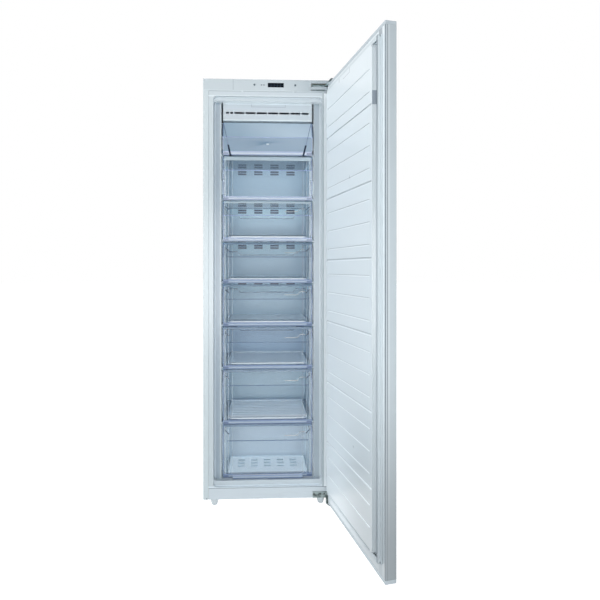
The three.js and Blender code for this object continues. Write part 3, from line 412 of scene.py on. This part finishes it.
lining_sheet = drawn_sheet("lining_sheet", LINING)
x, y, z = lining_sheet.parts(lining_sheet.place())
_, _, nz = lining_sheet.facing()
side = abs(x)
flange = y < FLANGE
mouth = y.within(*MOUTH_SLOPE) | y.within(*MOUTH_SIDES) * z.within(*MOUTH_HEIGHTS)
mouth_right = mouth * (x > 0)
mouth_ceiling = y.within(*CEILING_DEPTHS) * (abs(nz) > 0.5) * (z > COVER_FOOT)
left_step = y.within(*STEP) * (x < LEFT_STEP)
inside = (y > SPACE_FRONT) * (side < SPACE_HALF)
near_wall = side.within(*NEAR_WALL)
behind_duct = (y > BEHIND_DUCT) * (side < DUCT_HALF)
lining_sheet.retint(
    # painted shade and light in the mouth: darker sides, and a right wall shaded inwards and lit
    # at its outer part
    (mouth, (0.41, 0.475, 0.515)),
    (mouth_right * x.ramp(*MOUTH_TURN), (0.285, 0.345, 0.415)),
    (mouth_right * x.ramp(*reversed(MOUTH_TURN)), (0.45, 0.52, 0.565)),
    (flange * (x < -SPACE_HALF), (0.43, 0.495, 0.53)),
    # painted shade in the groove along the frame's outer rim and along its top
    (flange * (side > FLANGE_RIM), (0.25, 0.31, 0.37)),
    (flange * (z > FLANGE_HEAD), (0.30, 0.36, 0.41)),
    # painted light on the mouth's ceiling, which lies in shade
    (mouth_ceiling, (0.76, 0.83, 0.86)),
    # painted shade and light on the left step, and painted shade on the right one
    (left_step, (0.42, 0.495, 0.56)),
    (left_step * x.ramp(*LEFT_STEP_SHADE), (0.24, 0.305, 0.365)),
    (left_step * x.ramp(*LEFT_STEP_LIGHT), (0.37, 0.44, 0.48)),
    (y.within(*STEP) * x.within(*RIGHT_STEP), (0.275, 0.34, 0.39)),
    # painted light on the rebate's foot and head
    (y.within(*REBATE) * z.within(*REBATE_FOOT), (0.56, 0.64, 0.70)),
    (y.within(*REBATE) * z.within(*REBATE_HEAD), (0.54, 0.61, 0.65)),
    # painted shade on the frame beside the door, and painted light beyond it
    (flange * x.within(REBATE_EDGE, SEAL_LINE), (0.36, 0.425, 0.46)),
    (flange * (x > SEAL_LINE) * (z < SEAL_HEAD), (0.78, 0.85, 0.89)),
    # painted light inside the cold space, less of it in the sixth space and more in the last
    (inside, (0.66, 0.86, 0.97)),
    (inside * z.within(*SIXTH_SPACE), (0.54, 0.75, 0.90)),
    (inside * (z < LAST_SPACE), (0.76, 0.89, 0.95)),
    # painted light on the walls beside the drawers and the cover, which lie in shade
    (near_wall * y.within(*LIT_WALL), (0.92, 0.98, 1.0)),
    (near_wall * y.within(*LIT_WALL_HIGH) * (z > COVER_FOOT), (0.88, 0.96, 1.0)),
    (y.within(*LEDGE_DEPTHS) * side.within(*LEDGES), (0.34, 0.44, 0.52)),
    # painted shade behind the duct, where its outlets look into the dark
    (behind_duct * z.within(*DUCT_HEIGHTS), PAINTED_DUCT_SHADE),
    (behind_duct * z.within(*DUCT_UPPER), (0.15, 0.18, 0.235)),
)
dull = near_wall * (y > NEAR_WALL_FRONT)
lining_sheet.finish(Coat_Weight=(1 - dull) * 0.3)
lining_sheet.finish(Roughness=(lining_sheet.noise(9, 3) * 0.12 + 0.24) | dull * 0.95)
dress(softened("lining", 0.0022, 3), lining_sheet)


# Machine bay: a black painted compressor on a plate with rubber feet, its terminal box and the
# melt-water pan over it, and a black sheet condenser with raised coils on the back of the casing.

black_paint = painted("black_paint", (0.020, 0.021, 0.023), 0.0002)
for node in ("compressor", "condenser"):
    dress(frame["nodes"][node], black_paint)
black_plastic = moulded("black_plastic", (0.028, 0.029, 0.031), 0.5, 500, 0.0001)
for node in ("terminal_box", "drain_pan", "fan_motor"):
    dress(frame["nodes"][node], black_plastic)


# Air system: a satin cover with a row of slots and a bare raised plate on its front, and behind it
# the finned cooling block, the fan in its shroud and the duct with its outlets down the back.

COVER = (0.45, 0.515, 0.56)
COVER_FACE = 0.045              # depth that still counts as the cover's face
COVER_LIP = 1.619               # height below which the cover's foot is lit
COVER_HEAD = (1.6795, 1.6865)
PLAQUE_FACE = 0.042
PLAQUE_MIDDLE = 0.003
PLAQUE_HALF = 0.072
PLAQUE_FOOT = 1.6725
PLAQUE_LINE = 0.0011
PLAQUE_CUT = 1.672              # below this height the lines round the plaque end
SLOT_HEIGHT = 1.6465
SLOT_HALF = 0.0040
LONG_SLOTS = (-0.141, 0.173)
SLOT_PITCH = 0.0475
SLOT_LENGTH = 0.042
SHORT_SLOTS = ((-0.176, -0.164), (-0.1585, -0.1465))
DUCT = (0.61, 0.81, 0.94)
DUCT_BACK = 0.3906
UPPER_SPACES = (0.753, 1.288)   # heights of the third to fifth space, behind the upper drawers

cover_plastic = moulded("cover_plastic", COVER, 0.33)
dress(softened("air_cover", 0.0012), cover_plastic)
x, y, z = cover_plastic.parts(cover_plastic.place())
from_plaque = abs(x - PLAQUE_MIDDLE)
plaque_sides = from_plaque.near(PLAQUE_HALF, PLAQUE_LINE)
plaque_foot = z.near(PLAQUE_FOOT, PLAQUE_LINE) * (from_plaque < PLAQUE_HALF)
long_slots = ((x - LONG_SLOTS[0]) % SLOT_PITCH < SLOT_LENGTH) * x.within(*LONG_SLOTS)
all_slots = any_of([long_slots, *(x.within(*ends) for ends in SHORT_SLOTS)])
plaque_edge = (plaque_sides | plaque_foot) * (y < PLAQUE_FACE) * (z > PLAQUE_CUT)
cover_plastic.retint(
    # painted shade: a shadow line round the plaque's sides and foot, and dark in the slots
    (plaque_edge, (0.28, 0.33, 0.39)),
    (all_slots * z.near(SLOT_HEIGHT, SLOT_HALF), (0.015, 0.015, 0.030)),
    # painted light on the cover's foot and along its top edge
    ((z < COVER_LIP) * (y < COVER_FACE), (0.56, 0.63, 0.67)),
    (z.ramp(*COVER_HEAD) * (y < COVER_FACE), (0.68, 0.76, 0.81)),
)
duct_plastic = moulded("duct_plastic", DUCT, 0.4)
x, y, z = duct_plastic.parts(duct_plastic.place())
duct_plastic.retint(
    # painted light and shade for each space, as on the lining, and painted shade behind the duct's
    # back
    (z.within(*UPPER_SPACES), (0.66, 0.90, 1.0)),
    (z.within(*SIXTH_SPACE), (0.50, 0.70, 0.88)),
    (z < SIXTH_SPACE[0], (0.72, 0.93, 1.0)),
    (y > DUCT_BACK, PAINTED_DUCT_SHADE),
)
dress(softened("air_duct", 0.0008), duct_plastic)
for node in ("fan_shroud", "fan_rotor"):
    dress(frame["nodes"][node], duct_plastic)
fins = Look("cooling_fins", Metallic=1.0)
fins.finish(Roughness=fins.noise(220, 3) * 0.2 + 0.3)
fins.finish(Base_Color=fins.blend(fins.noise(90, 3), (0.60, 0.63, 0.65), (0.72, 0.74, 0.76)))
dress(frame["nodes"]["cooling_block"], fins)


# Control fascia: a moulded strip across the top with a smoked display window, two small push
# buttons and a pair of lamps. The window shows ten unlit cells in two rows and nothing else.

FASCIA = (0.46, 0.525, 0.56)
FASCIA_FACE = 0.002             # depth that still counts as the fascia's face
FASCIA_SEAM = -0.144
SEAM_HALF = 0.0012
FASCIA_FOOT = 1.7295
FASCIA_SHADE = (0.06, 0.25)     # where the fascia's face darkens towards the door
HINGE_SLOT = (1.7303, 1.7362)
HINGE_SLOT_LEFT = 0.20
CONTROL_HEIGHT = 1.752
CELL = 0.066 / 5                # the window starts at the cabinet's middle and holds five a row
CELL_GAP = 0.0013
CELL_HEIGHTS = (0.0011, 0.0074)
LAMPS = (-0.0262, -0.0165)
LAMP_HALF = 0.0026
BUTTONS = {"button_left": -0.056, "button_right": 0.114}
BUTTON_MARK = 0.0044

fascia_plastic = moulded("fascia_plastic", FASCIA, 0.34)
x, y, z = fascia_plastic.parts(fascia_plastic.place())
fascia_face = y < FASCIA_FACE
fascia_plastic.retint(
    (x.near(FASCIA_SEAM, SEAM_HALF) * fascia_face, (0.33, 0.385, 0.43)),
    ((z < FASCIA_FOOT) * fascia_face, (0.53, 0.60, 0.635)),
    # painted shade in the hinge's slot and over the face towards the door
    (z.within(*HINGE_SLOT) * (x > HINGE_SLOT_LEFT), (0.09, 0.12, 0.15)),
    (x.ramp(*FASCIA_SHADE) * fascia_face * 0.9, (0.31, 0.37, 0.41)),
)
dress(softened("fascia", 0.0012), fascia_plastic)

window = Look("display_window", Roughness=0.3, Specular_IOR_Level=0.02)
x, y, z = window.parts(window.place())
cell_across = (x % CELL).within(CELL_GAP, CELL - CELL_GAP)
cell_up = abs(z - CONTROL_HEIGHT).within(*CELL_HEIGHTS)
bars = 1 - cell_across * cell_up
window.finish(Base_Color=window.blend(bars, (0.002, 0.003, 0.005), (0.018, 0.030, 0.045)))
dress(frame["nodes"]["display_window"], window)

lamps = Look("lamp_strip", Roughness=0.3)
x, y, z = lamps.parts(lamps.place())
dots = any_of(x.near(middle, LAMP_HALF) for middle in LAMPS)
lamps.finish(Base_Color=lamps.blend(dots, FASCIA, (0.02, 0.03, 0.05)))
dress(frame["nodes"]["lamp_strip"], lamps)

for node, middle in BUTTONS.items():
    look = Look(node + "_look", Roughness=0.35)
    x, y, z = look.parts(look.place())
    across, up = x - middle, z - CONTROL_HEIGHT
    mark = across * across + up * up < BUTTON_MARK ** 2
    tint = look.blend(look.noise(160), (0.47, 0.54, 0.59), (0.52, 0.59, 0.64))
    look.finish(Base_Color=look.blend(mark, tint, (0.06, 0.09, 0.11)))
    dress(softened(node, 0.0005), look)
board = Look("circuit_board", Roughness=0.45)
tracks = board.noise(130, 1) > 0.52
board.finish(Base_Color=board.blend(tracks, (0.02, 0.10, 0.05), (0.04, 0.17, 0.08)))
dress(frame["nodes"]["control_board"], board)


# Glass shelves: clear toughened panes with a faint blue cast, ground edges that look deeper in
# colour, and a pale cover of painted reflection that grows the flatter they are seen.

FLOORS = [1.478978, 1.288013, 1.113074, 0.935112, 0.753067, 0.571022, 0.338023, 0.102]
GLASS = 0.004                   # thickness of a pane

pane = Look("shelf_glass", IOR=1.5)
_, _, nz = pane.facing()
edge = abs(nz) < 0.5
pane.finish(Base_Color=pane.blend(edge, (0.50, 0.62, 0.70), (0.20, 0.34, 0.48)))
# the pane's cover grows where it is seen at a slant: painted reflection
slant = pane.node("ShaderNodeLayerWeight", {0: 0.5}, out=1)
pane.finish(Alpha=(slant * slant * 0.2 + 0.03) | edge * 0.6)
pane.finish(Roughness=pane.noise(30) * 0.04 + 0.03)
for number in range(1, 8):
    dress(frame["nodes"][f"glass_shelf_{number}"], pane)


# Flaps and drawers: injection-moulded clear plastic with a faint blue cast. Each front is folded
# outwards along a line and has a thick rim at its foot, and light gathers in every edge, which
# looks violet blue. The boxes behind have sloping walls and a dip in the rear wall's upper edge.

CLEAR = (0.37, 0.57, 0.86)
THIN = 0.07                     # how much a clear wall covers what is behind it
MILKY = 0.92                    # and how much the top flap does
CEILING = 1.614
FRONT_BACK = 0.0553             # depth at which the fronts end and the boxes begin
FRONT_EDGE = 0.1862             # half the width of a front, less its dark edge
FOLD_DROP = 0.072
WALL_DROP = 0.038
OVERHANG = 0.010
RIM = 0.016
RIDGE_PITCH = 0.0253
FLOOR_ROWS = (0.1136, 0.1464, 0.1793)
STAY_FOOT = 1.511               # below this height the stays of the top flap are thick
PALE_RIB = (0.60, 0.71, 0.80)


def front_marks(index, front, side, z, low, ceiling):
    """The pale strip and ribs at the sides of a front, and the band under its ceiling: painted
    shade under the shelf above in the lower spaces, a paler band in the second and third.
    """
    head, depth, strength = (0.20, 0.29, 0.40), 0.019, 0.6
    if index < 3:
        head, depth, strength = (0.50, 0.61, 0.68), 0.027 if index == 1 else 0.018, 0.85
    over_rim = front * (z > low + RIM)
    return [
        (front * side.within(0.1745, FRONT_EDGE), (0.52, 0.63, 0.73), 0.32),
        (over_rim * side.near(0.1665, 0.0012), PALE_RIB, 0.35),
        (over_rim * side.near(0.1490, 0.0010), PALE_RIB, 0.22),
        (front * (z > ceiling - depth) * (side < 0.186), head, strength),
    ]


def box_marks(index, front, level, place, floor_level, top):
    """The box seen through its front: painted light on its foot, a dark upper edge, a warm painted
    highlight, hooks, and a floor painted light.
    """
    x, y, z = place
    side = abs(x)
    box = 1 - front
    foot = floor_level + (0.007 if index < 5 else 0.013)
    lit = z.within(foot, foot + 0.0046) * side.ramp(0.170, 0.150)
    hook = side.within(0.163, 0.180) * z.near(top - 0.001 + (side - 0.172) * 0.8, 0.002)
    dip = side.ramp(0.139, 0.125) * 0.016
    line = box * z.near(top - dip * (y > 0.2) - 0.0015, 0.0022)
    gleam = x.within(0.072, 0.160) * z.near(top - 0.0165 + x.ramp(0.125, 0.139) * 0.013, 0.0013)
    marks = [
        (front * lit, (0.62, 0.69, 0.74), 0.75),
        (line, (0.06, 0.10, 0.19), 0.9 if index > 3 else 0.45),
        (front * gleam, (0.52, 0.51, 0.48), 0.4),
        (front * hook, (0.05, 0.08, 0.14), 0.8),
        (level, (0.84, 0.94, 1.0), 0.92),
    ]
    if index > 4:
        # painted light on the low walls, which lie in shade beside the floor
        low_walls = box * (z < floor_level + 0.0225) * (1 - level)
        marks.append((low_walls, (0.60, 0.72, 0.80), 0.9))
    if index == 6:
        # painted light: white ridge lines and a white strip at the front of the floor
        marks.append((level * ((y - 0.052) % RIDGE_PITCH < 0.006), WHITE, 0.95))
        marks.append((level * (y < 0.085), WHITE, 0.95))
    if index == 7:
        # painted shade: dark dashes at the floor's drain slots
        rows = any_of(y.near(middle, 0.0020) for middle in FLOOR_ROWS)
        dashes = ((x + 0.1305) % 0.058 < 0.029) * (side < 0.132)
        marks.append((level * rows * dashes, (0.28, 0.37, 0.43), 1.0))
    return marks


def rim_marks(front, side, z, low):
    """The thick rim at the foot of a front, with its lines, the paler one a painted highlight,
    painted shade along its foot, and its darker ends.
    """
    rim = front * (z < low + RIM + 0.0003)
    return [
        (rim, (0.25, 0.33, 0.45), 0.88),
        (rim * z.near(low + 0.0145, 0.0015), (0.21, 0.28, 0.46), 0.95),
        (rim * z.near(low + 0.0080, 0.0015), (0.38, 0.46, 0.55), 0.9),
        (rim * (z < low + 0.0030), (0.08, 0.12, 0.22), 0.97),
        (rim * (side > 0.166) * (z < low + 0.011), (0.12, 0.17, 0.28), 0.95),
    ]


def stays(x, z):
    """The two thin stays at the sides of the top flap."""
    half = (z < STAY_FOOT) * 0.0026 + 0.0012
    left = x.near((1.5952 - z) * 0.2125 - 0.1848, half)
    right = x.near(0.187 - (1.6138 - z) * 0.243, half)
    return left | right


def clear_look(index):
    """The clear plastic in one space, counted from the top: two flaps, then six drawers."""
    floor_level = FLOORS[index]
    ceiling = CEILING if index == 0 else FLOORS[index - 1] - GLASS
    low = floor_level - OVERHANG if index < 7 else floor_level
    look = Look(f"clear_{index + 1}", IOR=1.46)
    place = look.parts(look.place())
    x, y, z = place
    side = abs(x)
    front = y < FRONT_BACK
    fold = front * z.near(ceiling - FOLD_DROP, 0.0012)
    grain = look.noise(12, 3) * 0.08 + 0.10
    marks = [(front * (side > FRONT_EDGE), (0.13, 0.19, 0.35), 0.9)]
    if index > 0:
        marks += front_marks(index, front, side, z, low, ceiling)
    if index > 1:
        _, _, nz = look.facing()
        level = (1 - front) * (abs(nz) > 0.9) * (z < floor_level + 0.03)
        marks += box_marks(index, front, level, place, floor_level, ceiling - WALL_DROP)
    if index < 3:
        marks.append((fold, (0.32, 0.41, 0.66), 0.8))
    else:
        marks.append((fold * (side < 0.172), (0.10, 0.16, 0.27), 0.9))
    marks += rim_marks(front, side, z, low)
    if index == 0:
        # painted light and shade running diagonally across the top flap, lighter towards the upper
        # right
        shade = (x + (z - 1.55) * 1.9).ramp(-0.16, 0.13)
        upper = look.blend(shade, (0.30, 0.42, 0.53), (0.42, 0.53, 0.63))
        lower = look.blend(shade, (0.075, 0.165, 0.26), (0.115, 0.205, 0.30))
        tint = look.blend(z < ceiling - FOLD_DROP, upper, lower)
        cover = MILKY
        stay = front * stays(x, z)
        catch = front * x.near(0, 0.0055) * z.near(low + 0.045, 0.003)
        grain = grain | stay * 0.95
        marks += [
            (stay, (0.07, 0.11, 0.20), 0.97),
            (stay * (z < STAY_FOOT), (0.0, 0.01, 0.03), 1.0),
            (catch, (0.40, 0.50, 0.58), 0.5),
        ]
    else:
        tint = look.blend(look.noise(5, 3), tuple(c * 0.95 for c in CLEAR), CLEAR)
        cover = THIN
    for share, mark, strength in marks:
        tint = look.blend(share, tint, mark)
        cover = share * strength | cover
    look.finish(Base_Color=tint, Alpha=cover, Roughness=grain)
    # the two lowest floors glow faintly: painted light
    if index > 5:
        shine = (0.03, 0.035, 0.04) if index == 6 else (0.11, 0.125, 0.13)
        lit_floor = look.blend(level, (0.0, 0.0, 0.0), shine)
        look.finish(Emission_Strength=1.0, Emission_Color=lit_floor)
    look.bump(look.noise(22, 2), 0.2, 0.0004)
    return look


for index in range(8):
    node = f"flap_{index + 1}" if index < 2 else f"drawer_{index - 1}"
    dress(softened(node, 0.0007), clear_look(index))


# Door: a painted steel pan filled with foam and closed by a drawn lining with a raised, grooved
# panel. Moulded caps close its two ends, and a soft bellows seal with a magnet core runs round
# the lining. A bare plate is stuck to the raised panel's side.

PIVOT = (0.259, -0.022)
TURN = math.radians(101.1)
PAN_BEVEL = -0.0285             # places through the door as it stands shut, on its free side
PAN_LINE = (-0.0222, -0.0190)
PAN_JOINT = -0.0155
PANEL_WALL = -0.0125
PANEL_FACE = 0.0068
FLANGE_JOINT = -0.0138
FLANGE_FREE = -0.2590           # places across the door as it stands shut
SEAL_STRIP = (-0.2445, -0.2195)
INNER_LIP = (-0.2405, -0.2250)
GROOVE_TOP = 1.508
MAJOR_PITCH = 0.2439
MAJOR_HALF = 0.0045
MAJOR_REACH = 0.214
MINORS = (0.0563, 0.1283, 0.2000)
MINOR_HALF = 0.0030
MINOR_REACH = 0.200
GROOVE_HEIGHTS = (0.09, 1.66)
MINOR_EDGE = 0.0020             # how far above a minor groove's middle its shaded edge lies
CLIP_FOOT = 1.6835
CLIP_HEAD = 1.7
CLIP_ACROSS = (-0.030, 0.035)
NOTCH_ACROSS = 0.074
NOTCH_HEIGHTS = (1.684, 1.700)
STRIP_FRONT = -0.0105
HIGH_END = (1.15, 1.60)         # heights between which the shade grows towards the upper end
LOW_END = (0.6, 0.1)            # and towards the lower end
PANEL_TURN = (0.004, -0.008)
TO_FREE_SIDE = -0.55            # a facing below this across the shut door looks to its free side


def shut(first, second, about=(0.0, 0.0)):
    """A place or a facing on the open door, turned back to the door as it stands shut."""
    across, through = first - about[0], second - about[1]
    return (
        across * math.cos(TURN) + through * math.sin(TURN) + about[0],
        through * math.cos(TURN) - across * math.sin(TURN) + about[1],
    )


def door_masks(look):
    """Across, through and up on the shut door, and which faces look to its free side."""
    x, y, z = look.parts(look.place())
    nx, ny, _ = look.facing()
    across, through = shut(x, y, PIVOT)
    return across, through, z, shut(nx, ny)[0] < TO_FREE_SIDE


def low_corner(across, z):
    """The shade that deepens towards the low free corner of the door's inner side."""
    return z.ramp(0.75, 0.08) * across.ramp(0.15, -0.20)


door_paint = painted("door_paint", (0.47, 0.54, 0.58))
across, through, z, free_side = door_masks(door_paint)
# painted light and shade on the door's free side: darker overall, a lit bevel, a shaded line, deep
# shade at the joint with the lining, and shade growing towards both ends
door_paint.retint(
    (free_side, (0.44, 0.505, 0.545)),
    (free_side * (through > PAN_BEVEL), (0.52, 0.585, 0.62)),
    (free_side * through.within(*PAN_LINE), (0.21, 0.25, 0.285)),
    (free_side * (through > PAN_JOINT), (0.07, 0.10, 0.13)),
    (free_side * z.ramp(1.0, 1.72) * 0.25, (0.22, 0.26, 0.29)),
    (free_side * z.ramp(0.75, 0.05) * 0.85, (0.20, 0.23, 0.25)),
)
dress(softened("door_skin", 0.0012), door_paint)
dress(frame["nodes"]["door_foam"], foam)

door_sheet = drawn_sheet("door_sheet", (0.61, 0.675, 0.71))
across, through, z, free_side = door_masks(door_sheet)
reach = abs(across)
wall = free_side * (through > PANEL_WALL)
face = through > PANEL_FACE
strip = (through < STRIP_FRONT) * across.within(*SEAL_STRIP)
flange_edge = across < FLANGE_FREE
run = (GROOVE_TOP - z) % MAJOR_PITCH
above_major = run > MAJOR_PITCH - MAJOR_HALF
major = (run < MAJOR_HALF) | above_major
minor = any_of(run.near(middle, MINOR_HALF) for middle in MINORS)
above_minor = any_of(run.near(middle - MINOR_EDGE, 0.0012) for middle in MINORS)
grooves = major * (reach < MAJOR_REACH) | minor * (reach < MINOR_REACH)
grooves = face * grooves * z.within(*GROOVE_HEIGHTS)
clip_foot = z.near(CLIP_FOOT, 0.0010) * across.within(*CLIP_ACROSS)
clip_side = across.near(CLIP_ACROSS[0], 0.0015) * z.within(CLIP_FOOT, CLIP_HEAD)
notch = across.near(NOTCH_ACROSS, 0.0022) * z.within(*NOTCH_HEIGHTS)
door_sheet.retint(
    (low_corner(across, z) * 0.9, (0.32, 0.365, 0.39)),
    # painted light on the lower slope of each groove, painted shade on the upper one
    (grooves, (0.70, 0.765, 0.80)),
    (grooves * (above_major | above_minor), (0.42, 0.475, 0.515)),
    # painted shade on the strip beside the seal, deeper towards both ends
    (strip, (0.43, 0.495, 0.535)),
    (strip * z.ramp(*HIGH_END) * 0.7, (0.25, 0.29, 0.33)),
    (strip * z.ramp(*LOW_END) * 0.7, (0.22, 0.26, 0.29)),
    (face * any_of([clip_foot, clip_side, notch]), (0.30, 0.35, 0.40)),
    # painted shade on the raised panel's side wall, lifted by painted light near its foot and
    # deeper towards the low end
    (wall, (0.375, 0.435, 0.47)),
    (wall * through.ramp(*PANEL_TURN), (0.52, 0.59, 0.63)),
    (wall * z.ramp(*LOW_END) * 0.4, (0.19, 0.22, 0.24)),
    # painted shade on the flange's free edge at its joint, deeper towards the bottom
    (flange_edge * (through > FLANGE_JOINT), (0.36, 0.42, 0.455)),
    (flange_edge * z.ramp(0.75, 0.15), (0.20, 0.24, 0.27)),
)
dress(softened("door_lining", 0.0011), door_sheet)

# painted shade: the caps are coloured darker than the rest of the white front
cap_plastic = moulded("cap_plastic", (0.40, 0.46, 0.50), 0.42)
for node in ("door_cap_top", "door_cap_bottom"):
    dress(softened(node, 0.0016), cap_plastic)

rubber = Look("seal_rubber")
pale = rubber.blend(rubber.noise(30, 3), (0.50, 0.565, 0.60), (0.52, 0.585, 0.62))
rubber.finish(Base_Color=pale)
across, _, z, _ = door_masks(rubber)
inner_lip = across.within(*INNER_LIP)
ends = z.ramp(*HIGH_END) | z.ramp(*LOW_END)
rubber.retint(
    (low_corner(across, z) * 0.6, (0.27, 0.31, 0.335)),
    # painted shade on the seal's inner lip beside the panel, deeper at both ends
    (inner_lip * 0.75, (0.34, 0.40, 0.44)),
    (inner_lip * ends * 0.8, (0.20, 0.24, 0.27)),
)
rubber.finish(Roughness=rubber.noise(60) * 0.1 + 0.5)
rubber.bump(rubber.noise(260), 0.2, 0.0001)
dress(softened("door_gasket", 0.0012), rubber)
plate_plastic = moulded("blank_plate_plastic", (0.15, 0.19, 0.23), 0.3)
dress(frame["nodes"]["blank_plate"], plate_plastic)


# Hinges: zinc-plated steel with a grey-green cast, stamped and riveted. The upper arm comes
# through a slot in the fascia, the lower one hangs from a plate with three screws, and a folded
# clip on the door's upper end holds the furniture door.

PLATE_SCREWS = (0.193, 0.218, 0.235)
PLATE_HEIGHT = 0.0476
HEAD_HALF = 0.0026

for node, dark, light, metal in (
    ("upper_hinge", (0.20, 0.30, 0.32), (0.40, 0.50, 0.53), 0.0),
    ("lower_hinge", (0.05, 0.07, 0.07), (0.27, 0.33, 0.33), 0.4),
    ("door_clip", (0.12, 0.15, 0.16), (0.30, 0.35, 0.36), 0.5),
):
    plated = Look(f"plated_{node}", Metallic=metal)
    worn = plated.noise(55, 4)
    plated.finish(Base_Color=plated.blend(worn.ramp(0.35, 0.65), dark, light))
    x, y, z = plated.parts(plated.place())
    heads = any_of(x.near(middle, HEAD_HALF) for middle in PLATE_SCREWS)
    plated.retint((heads * z.near(PLATE_HEIGHT, HEAD_HALF), (0.01, 0.012, 0.014)))
    plated.finish(Roughness=worn * 0.25 + 0.32)
    plated.bump(plated.noise(320, 2), 0.3, 0.0002)
    dress(softened(node, 0.0004), plated)


# The look for the camera is plain: colours are shown as they are written.

bpy.context.scene.view_settings.view_transform = "Standard"
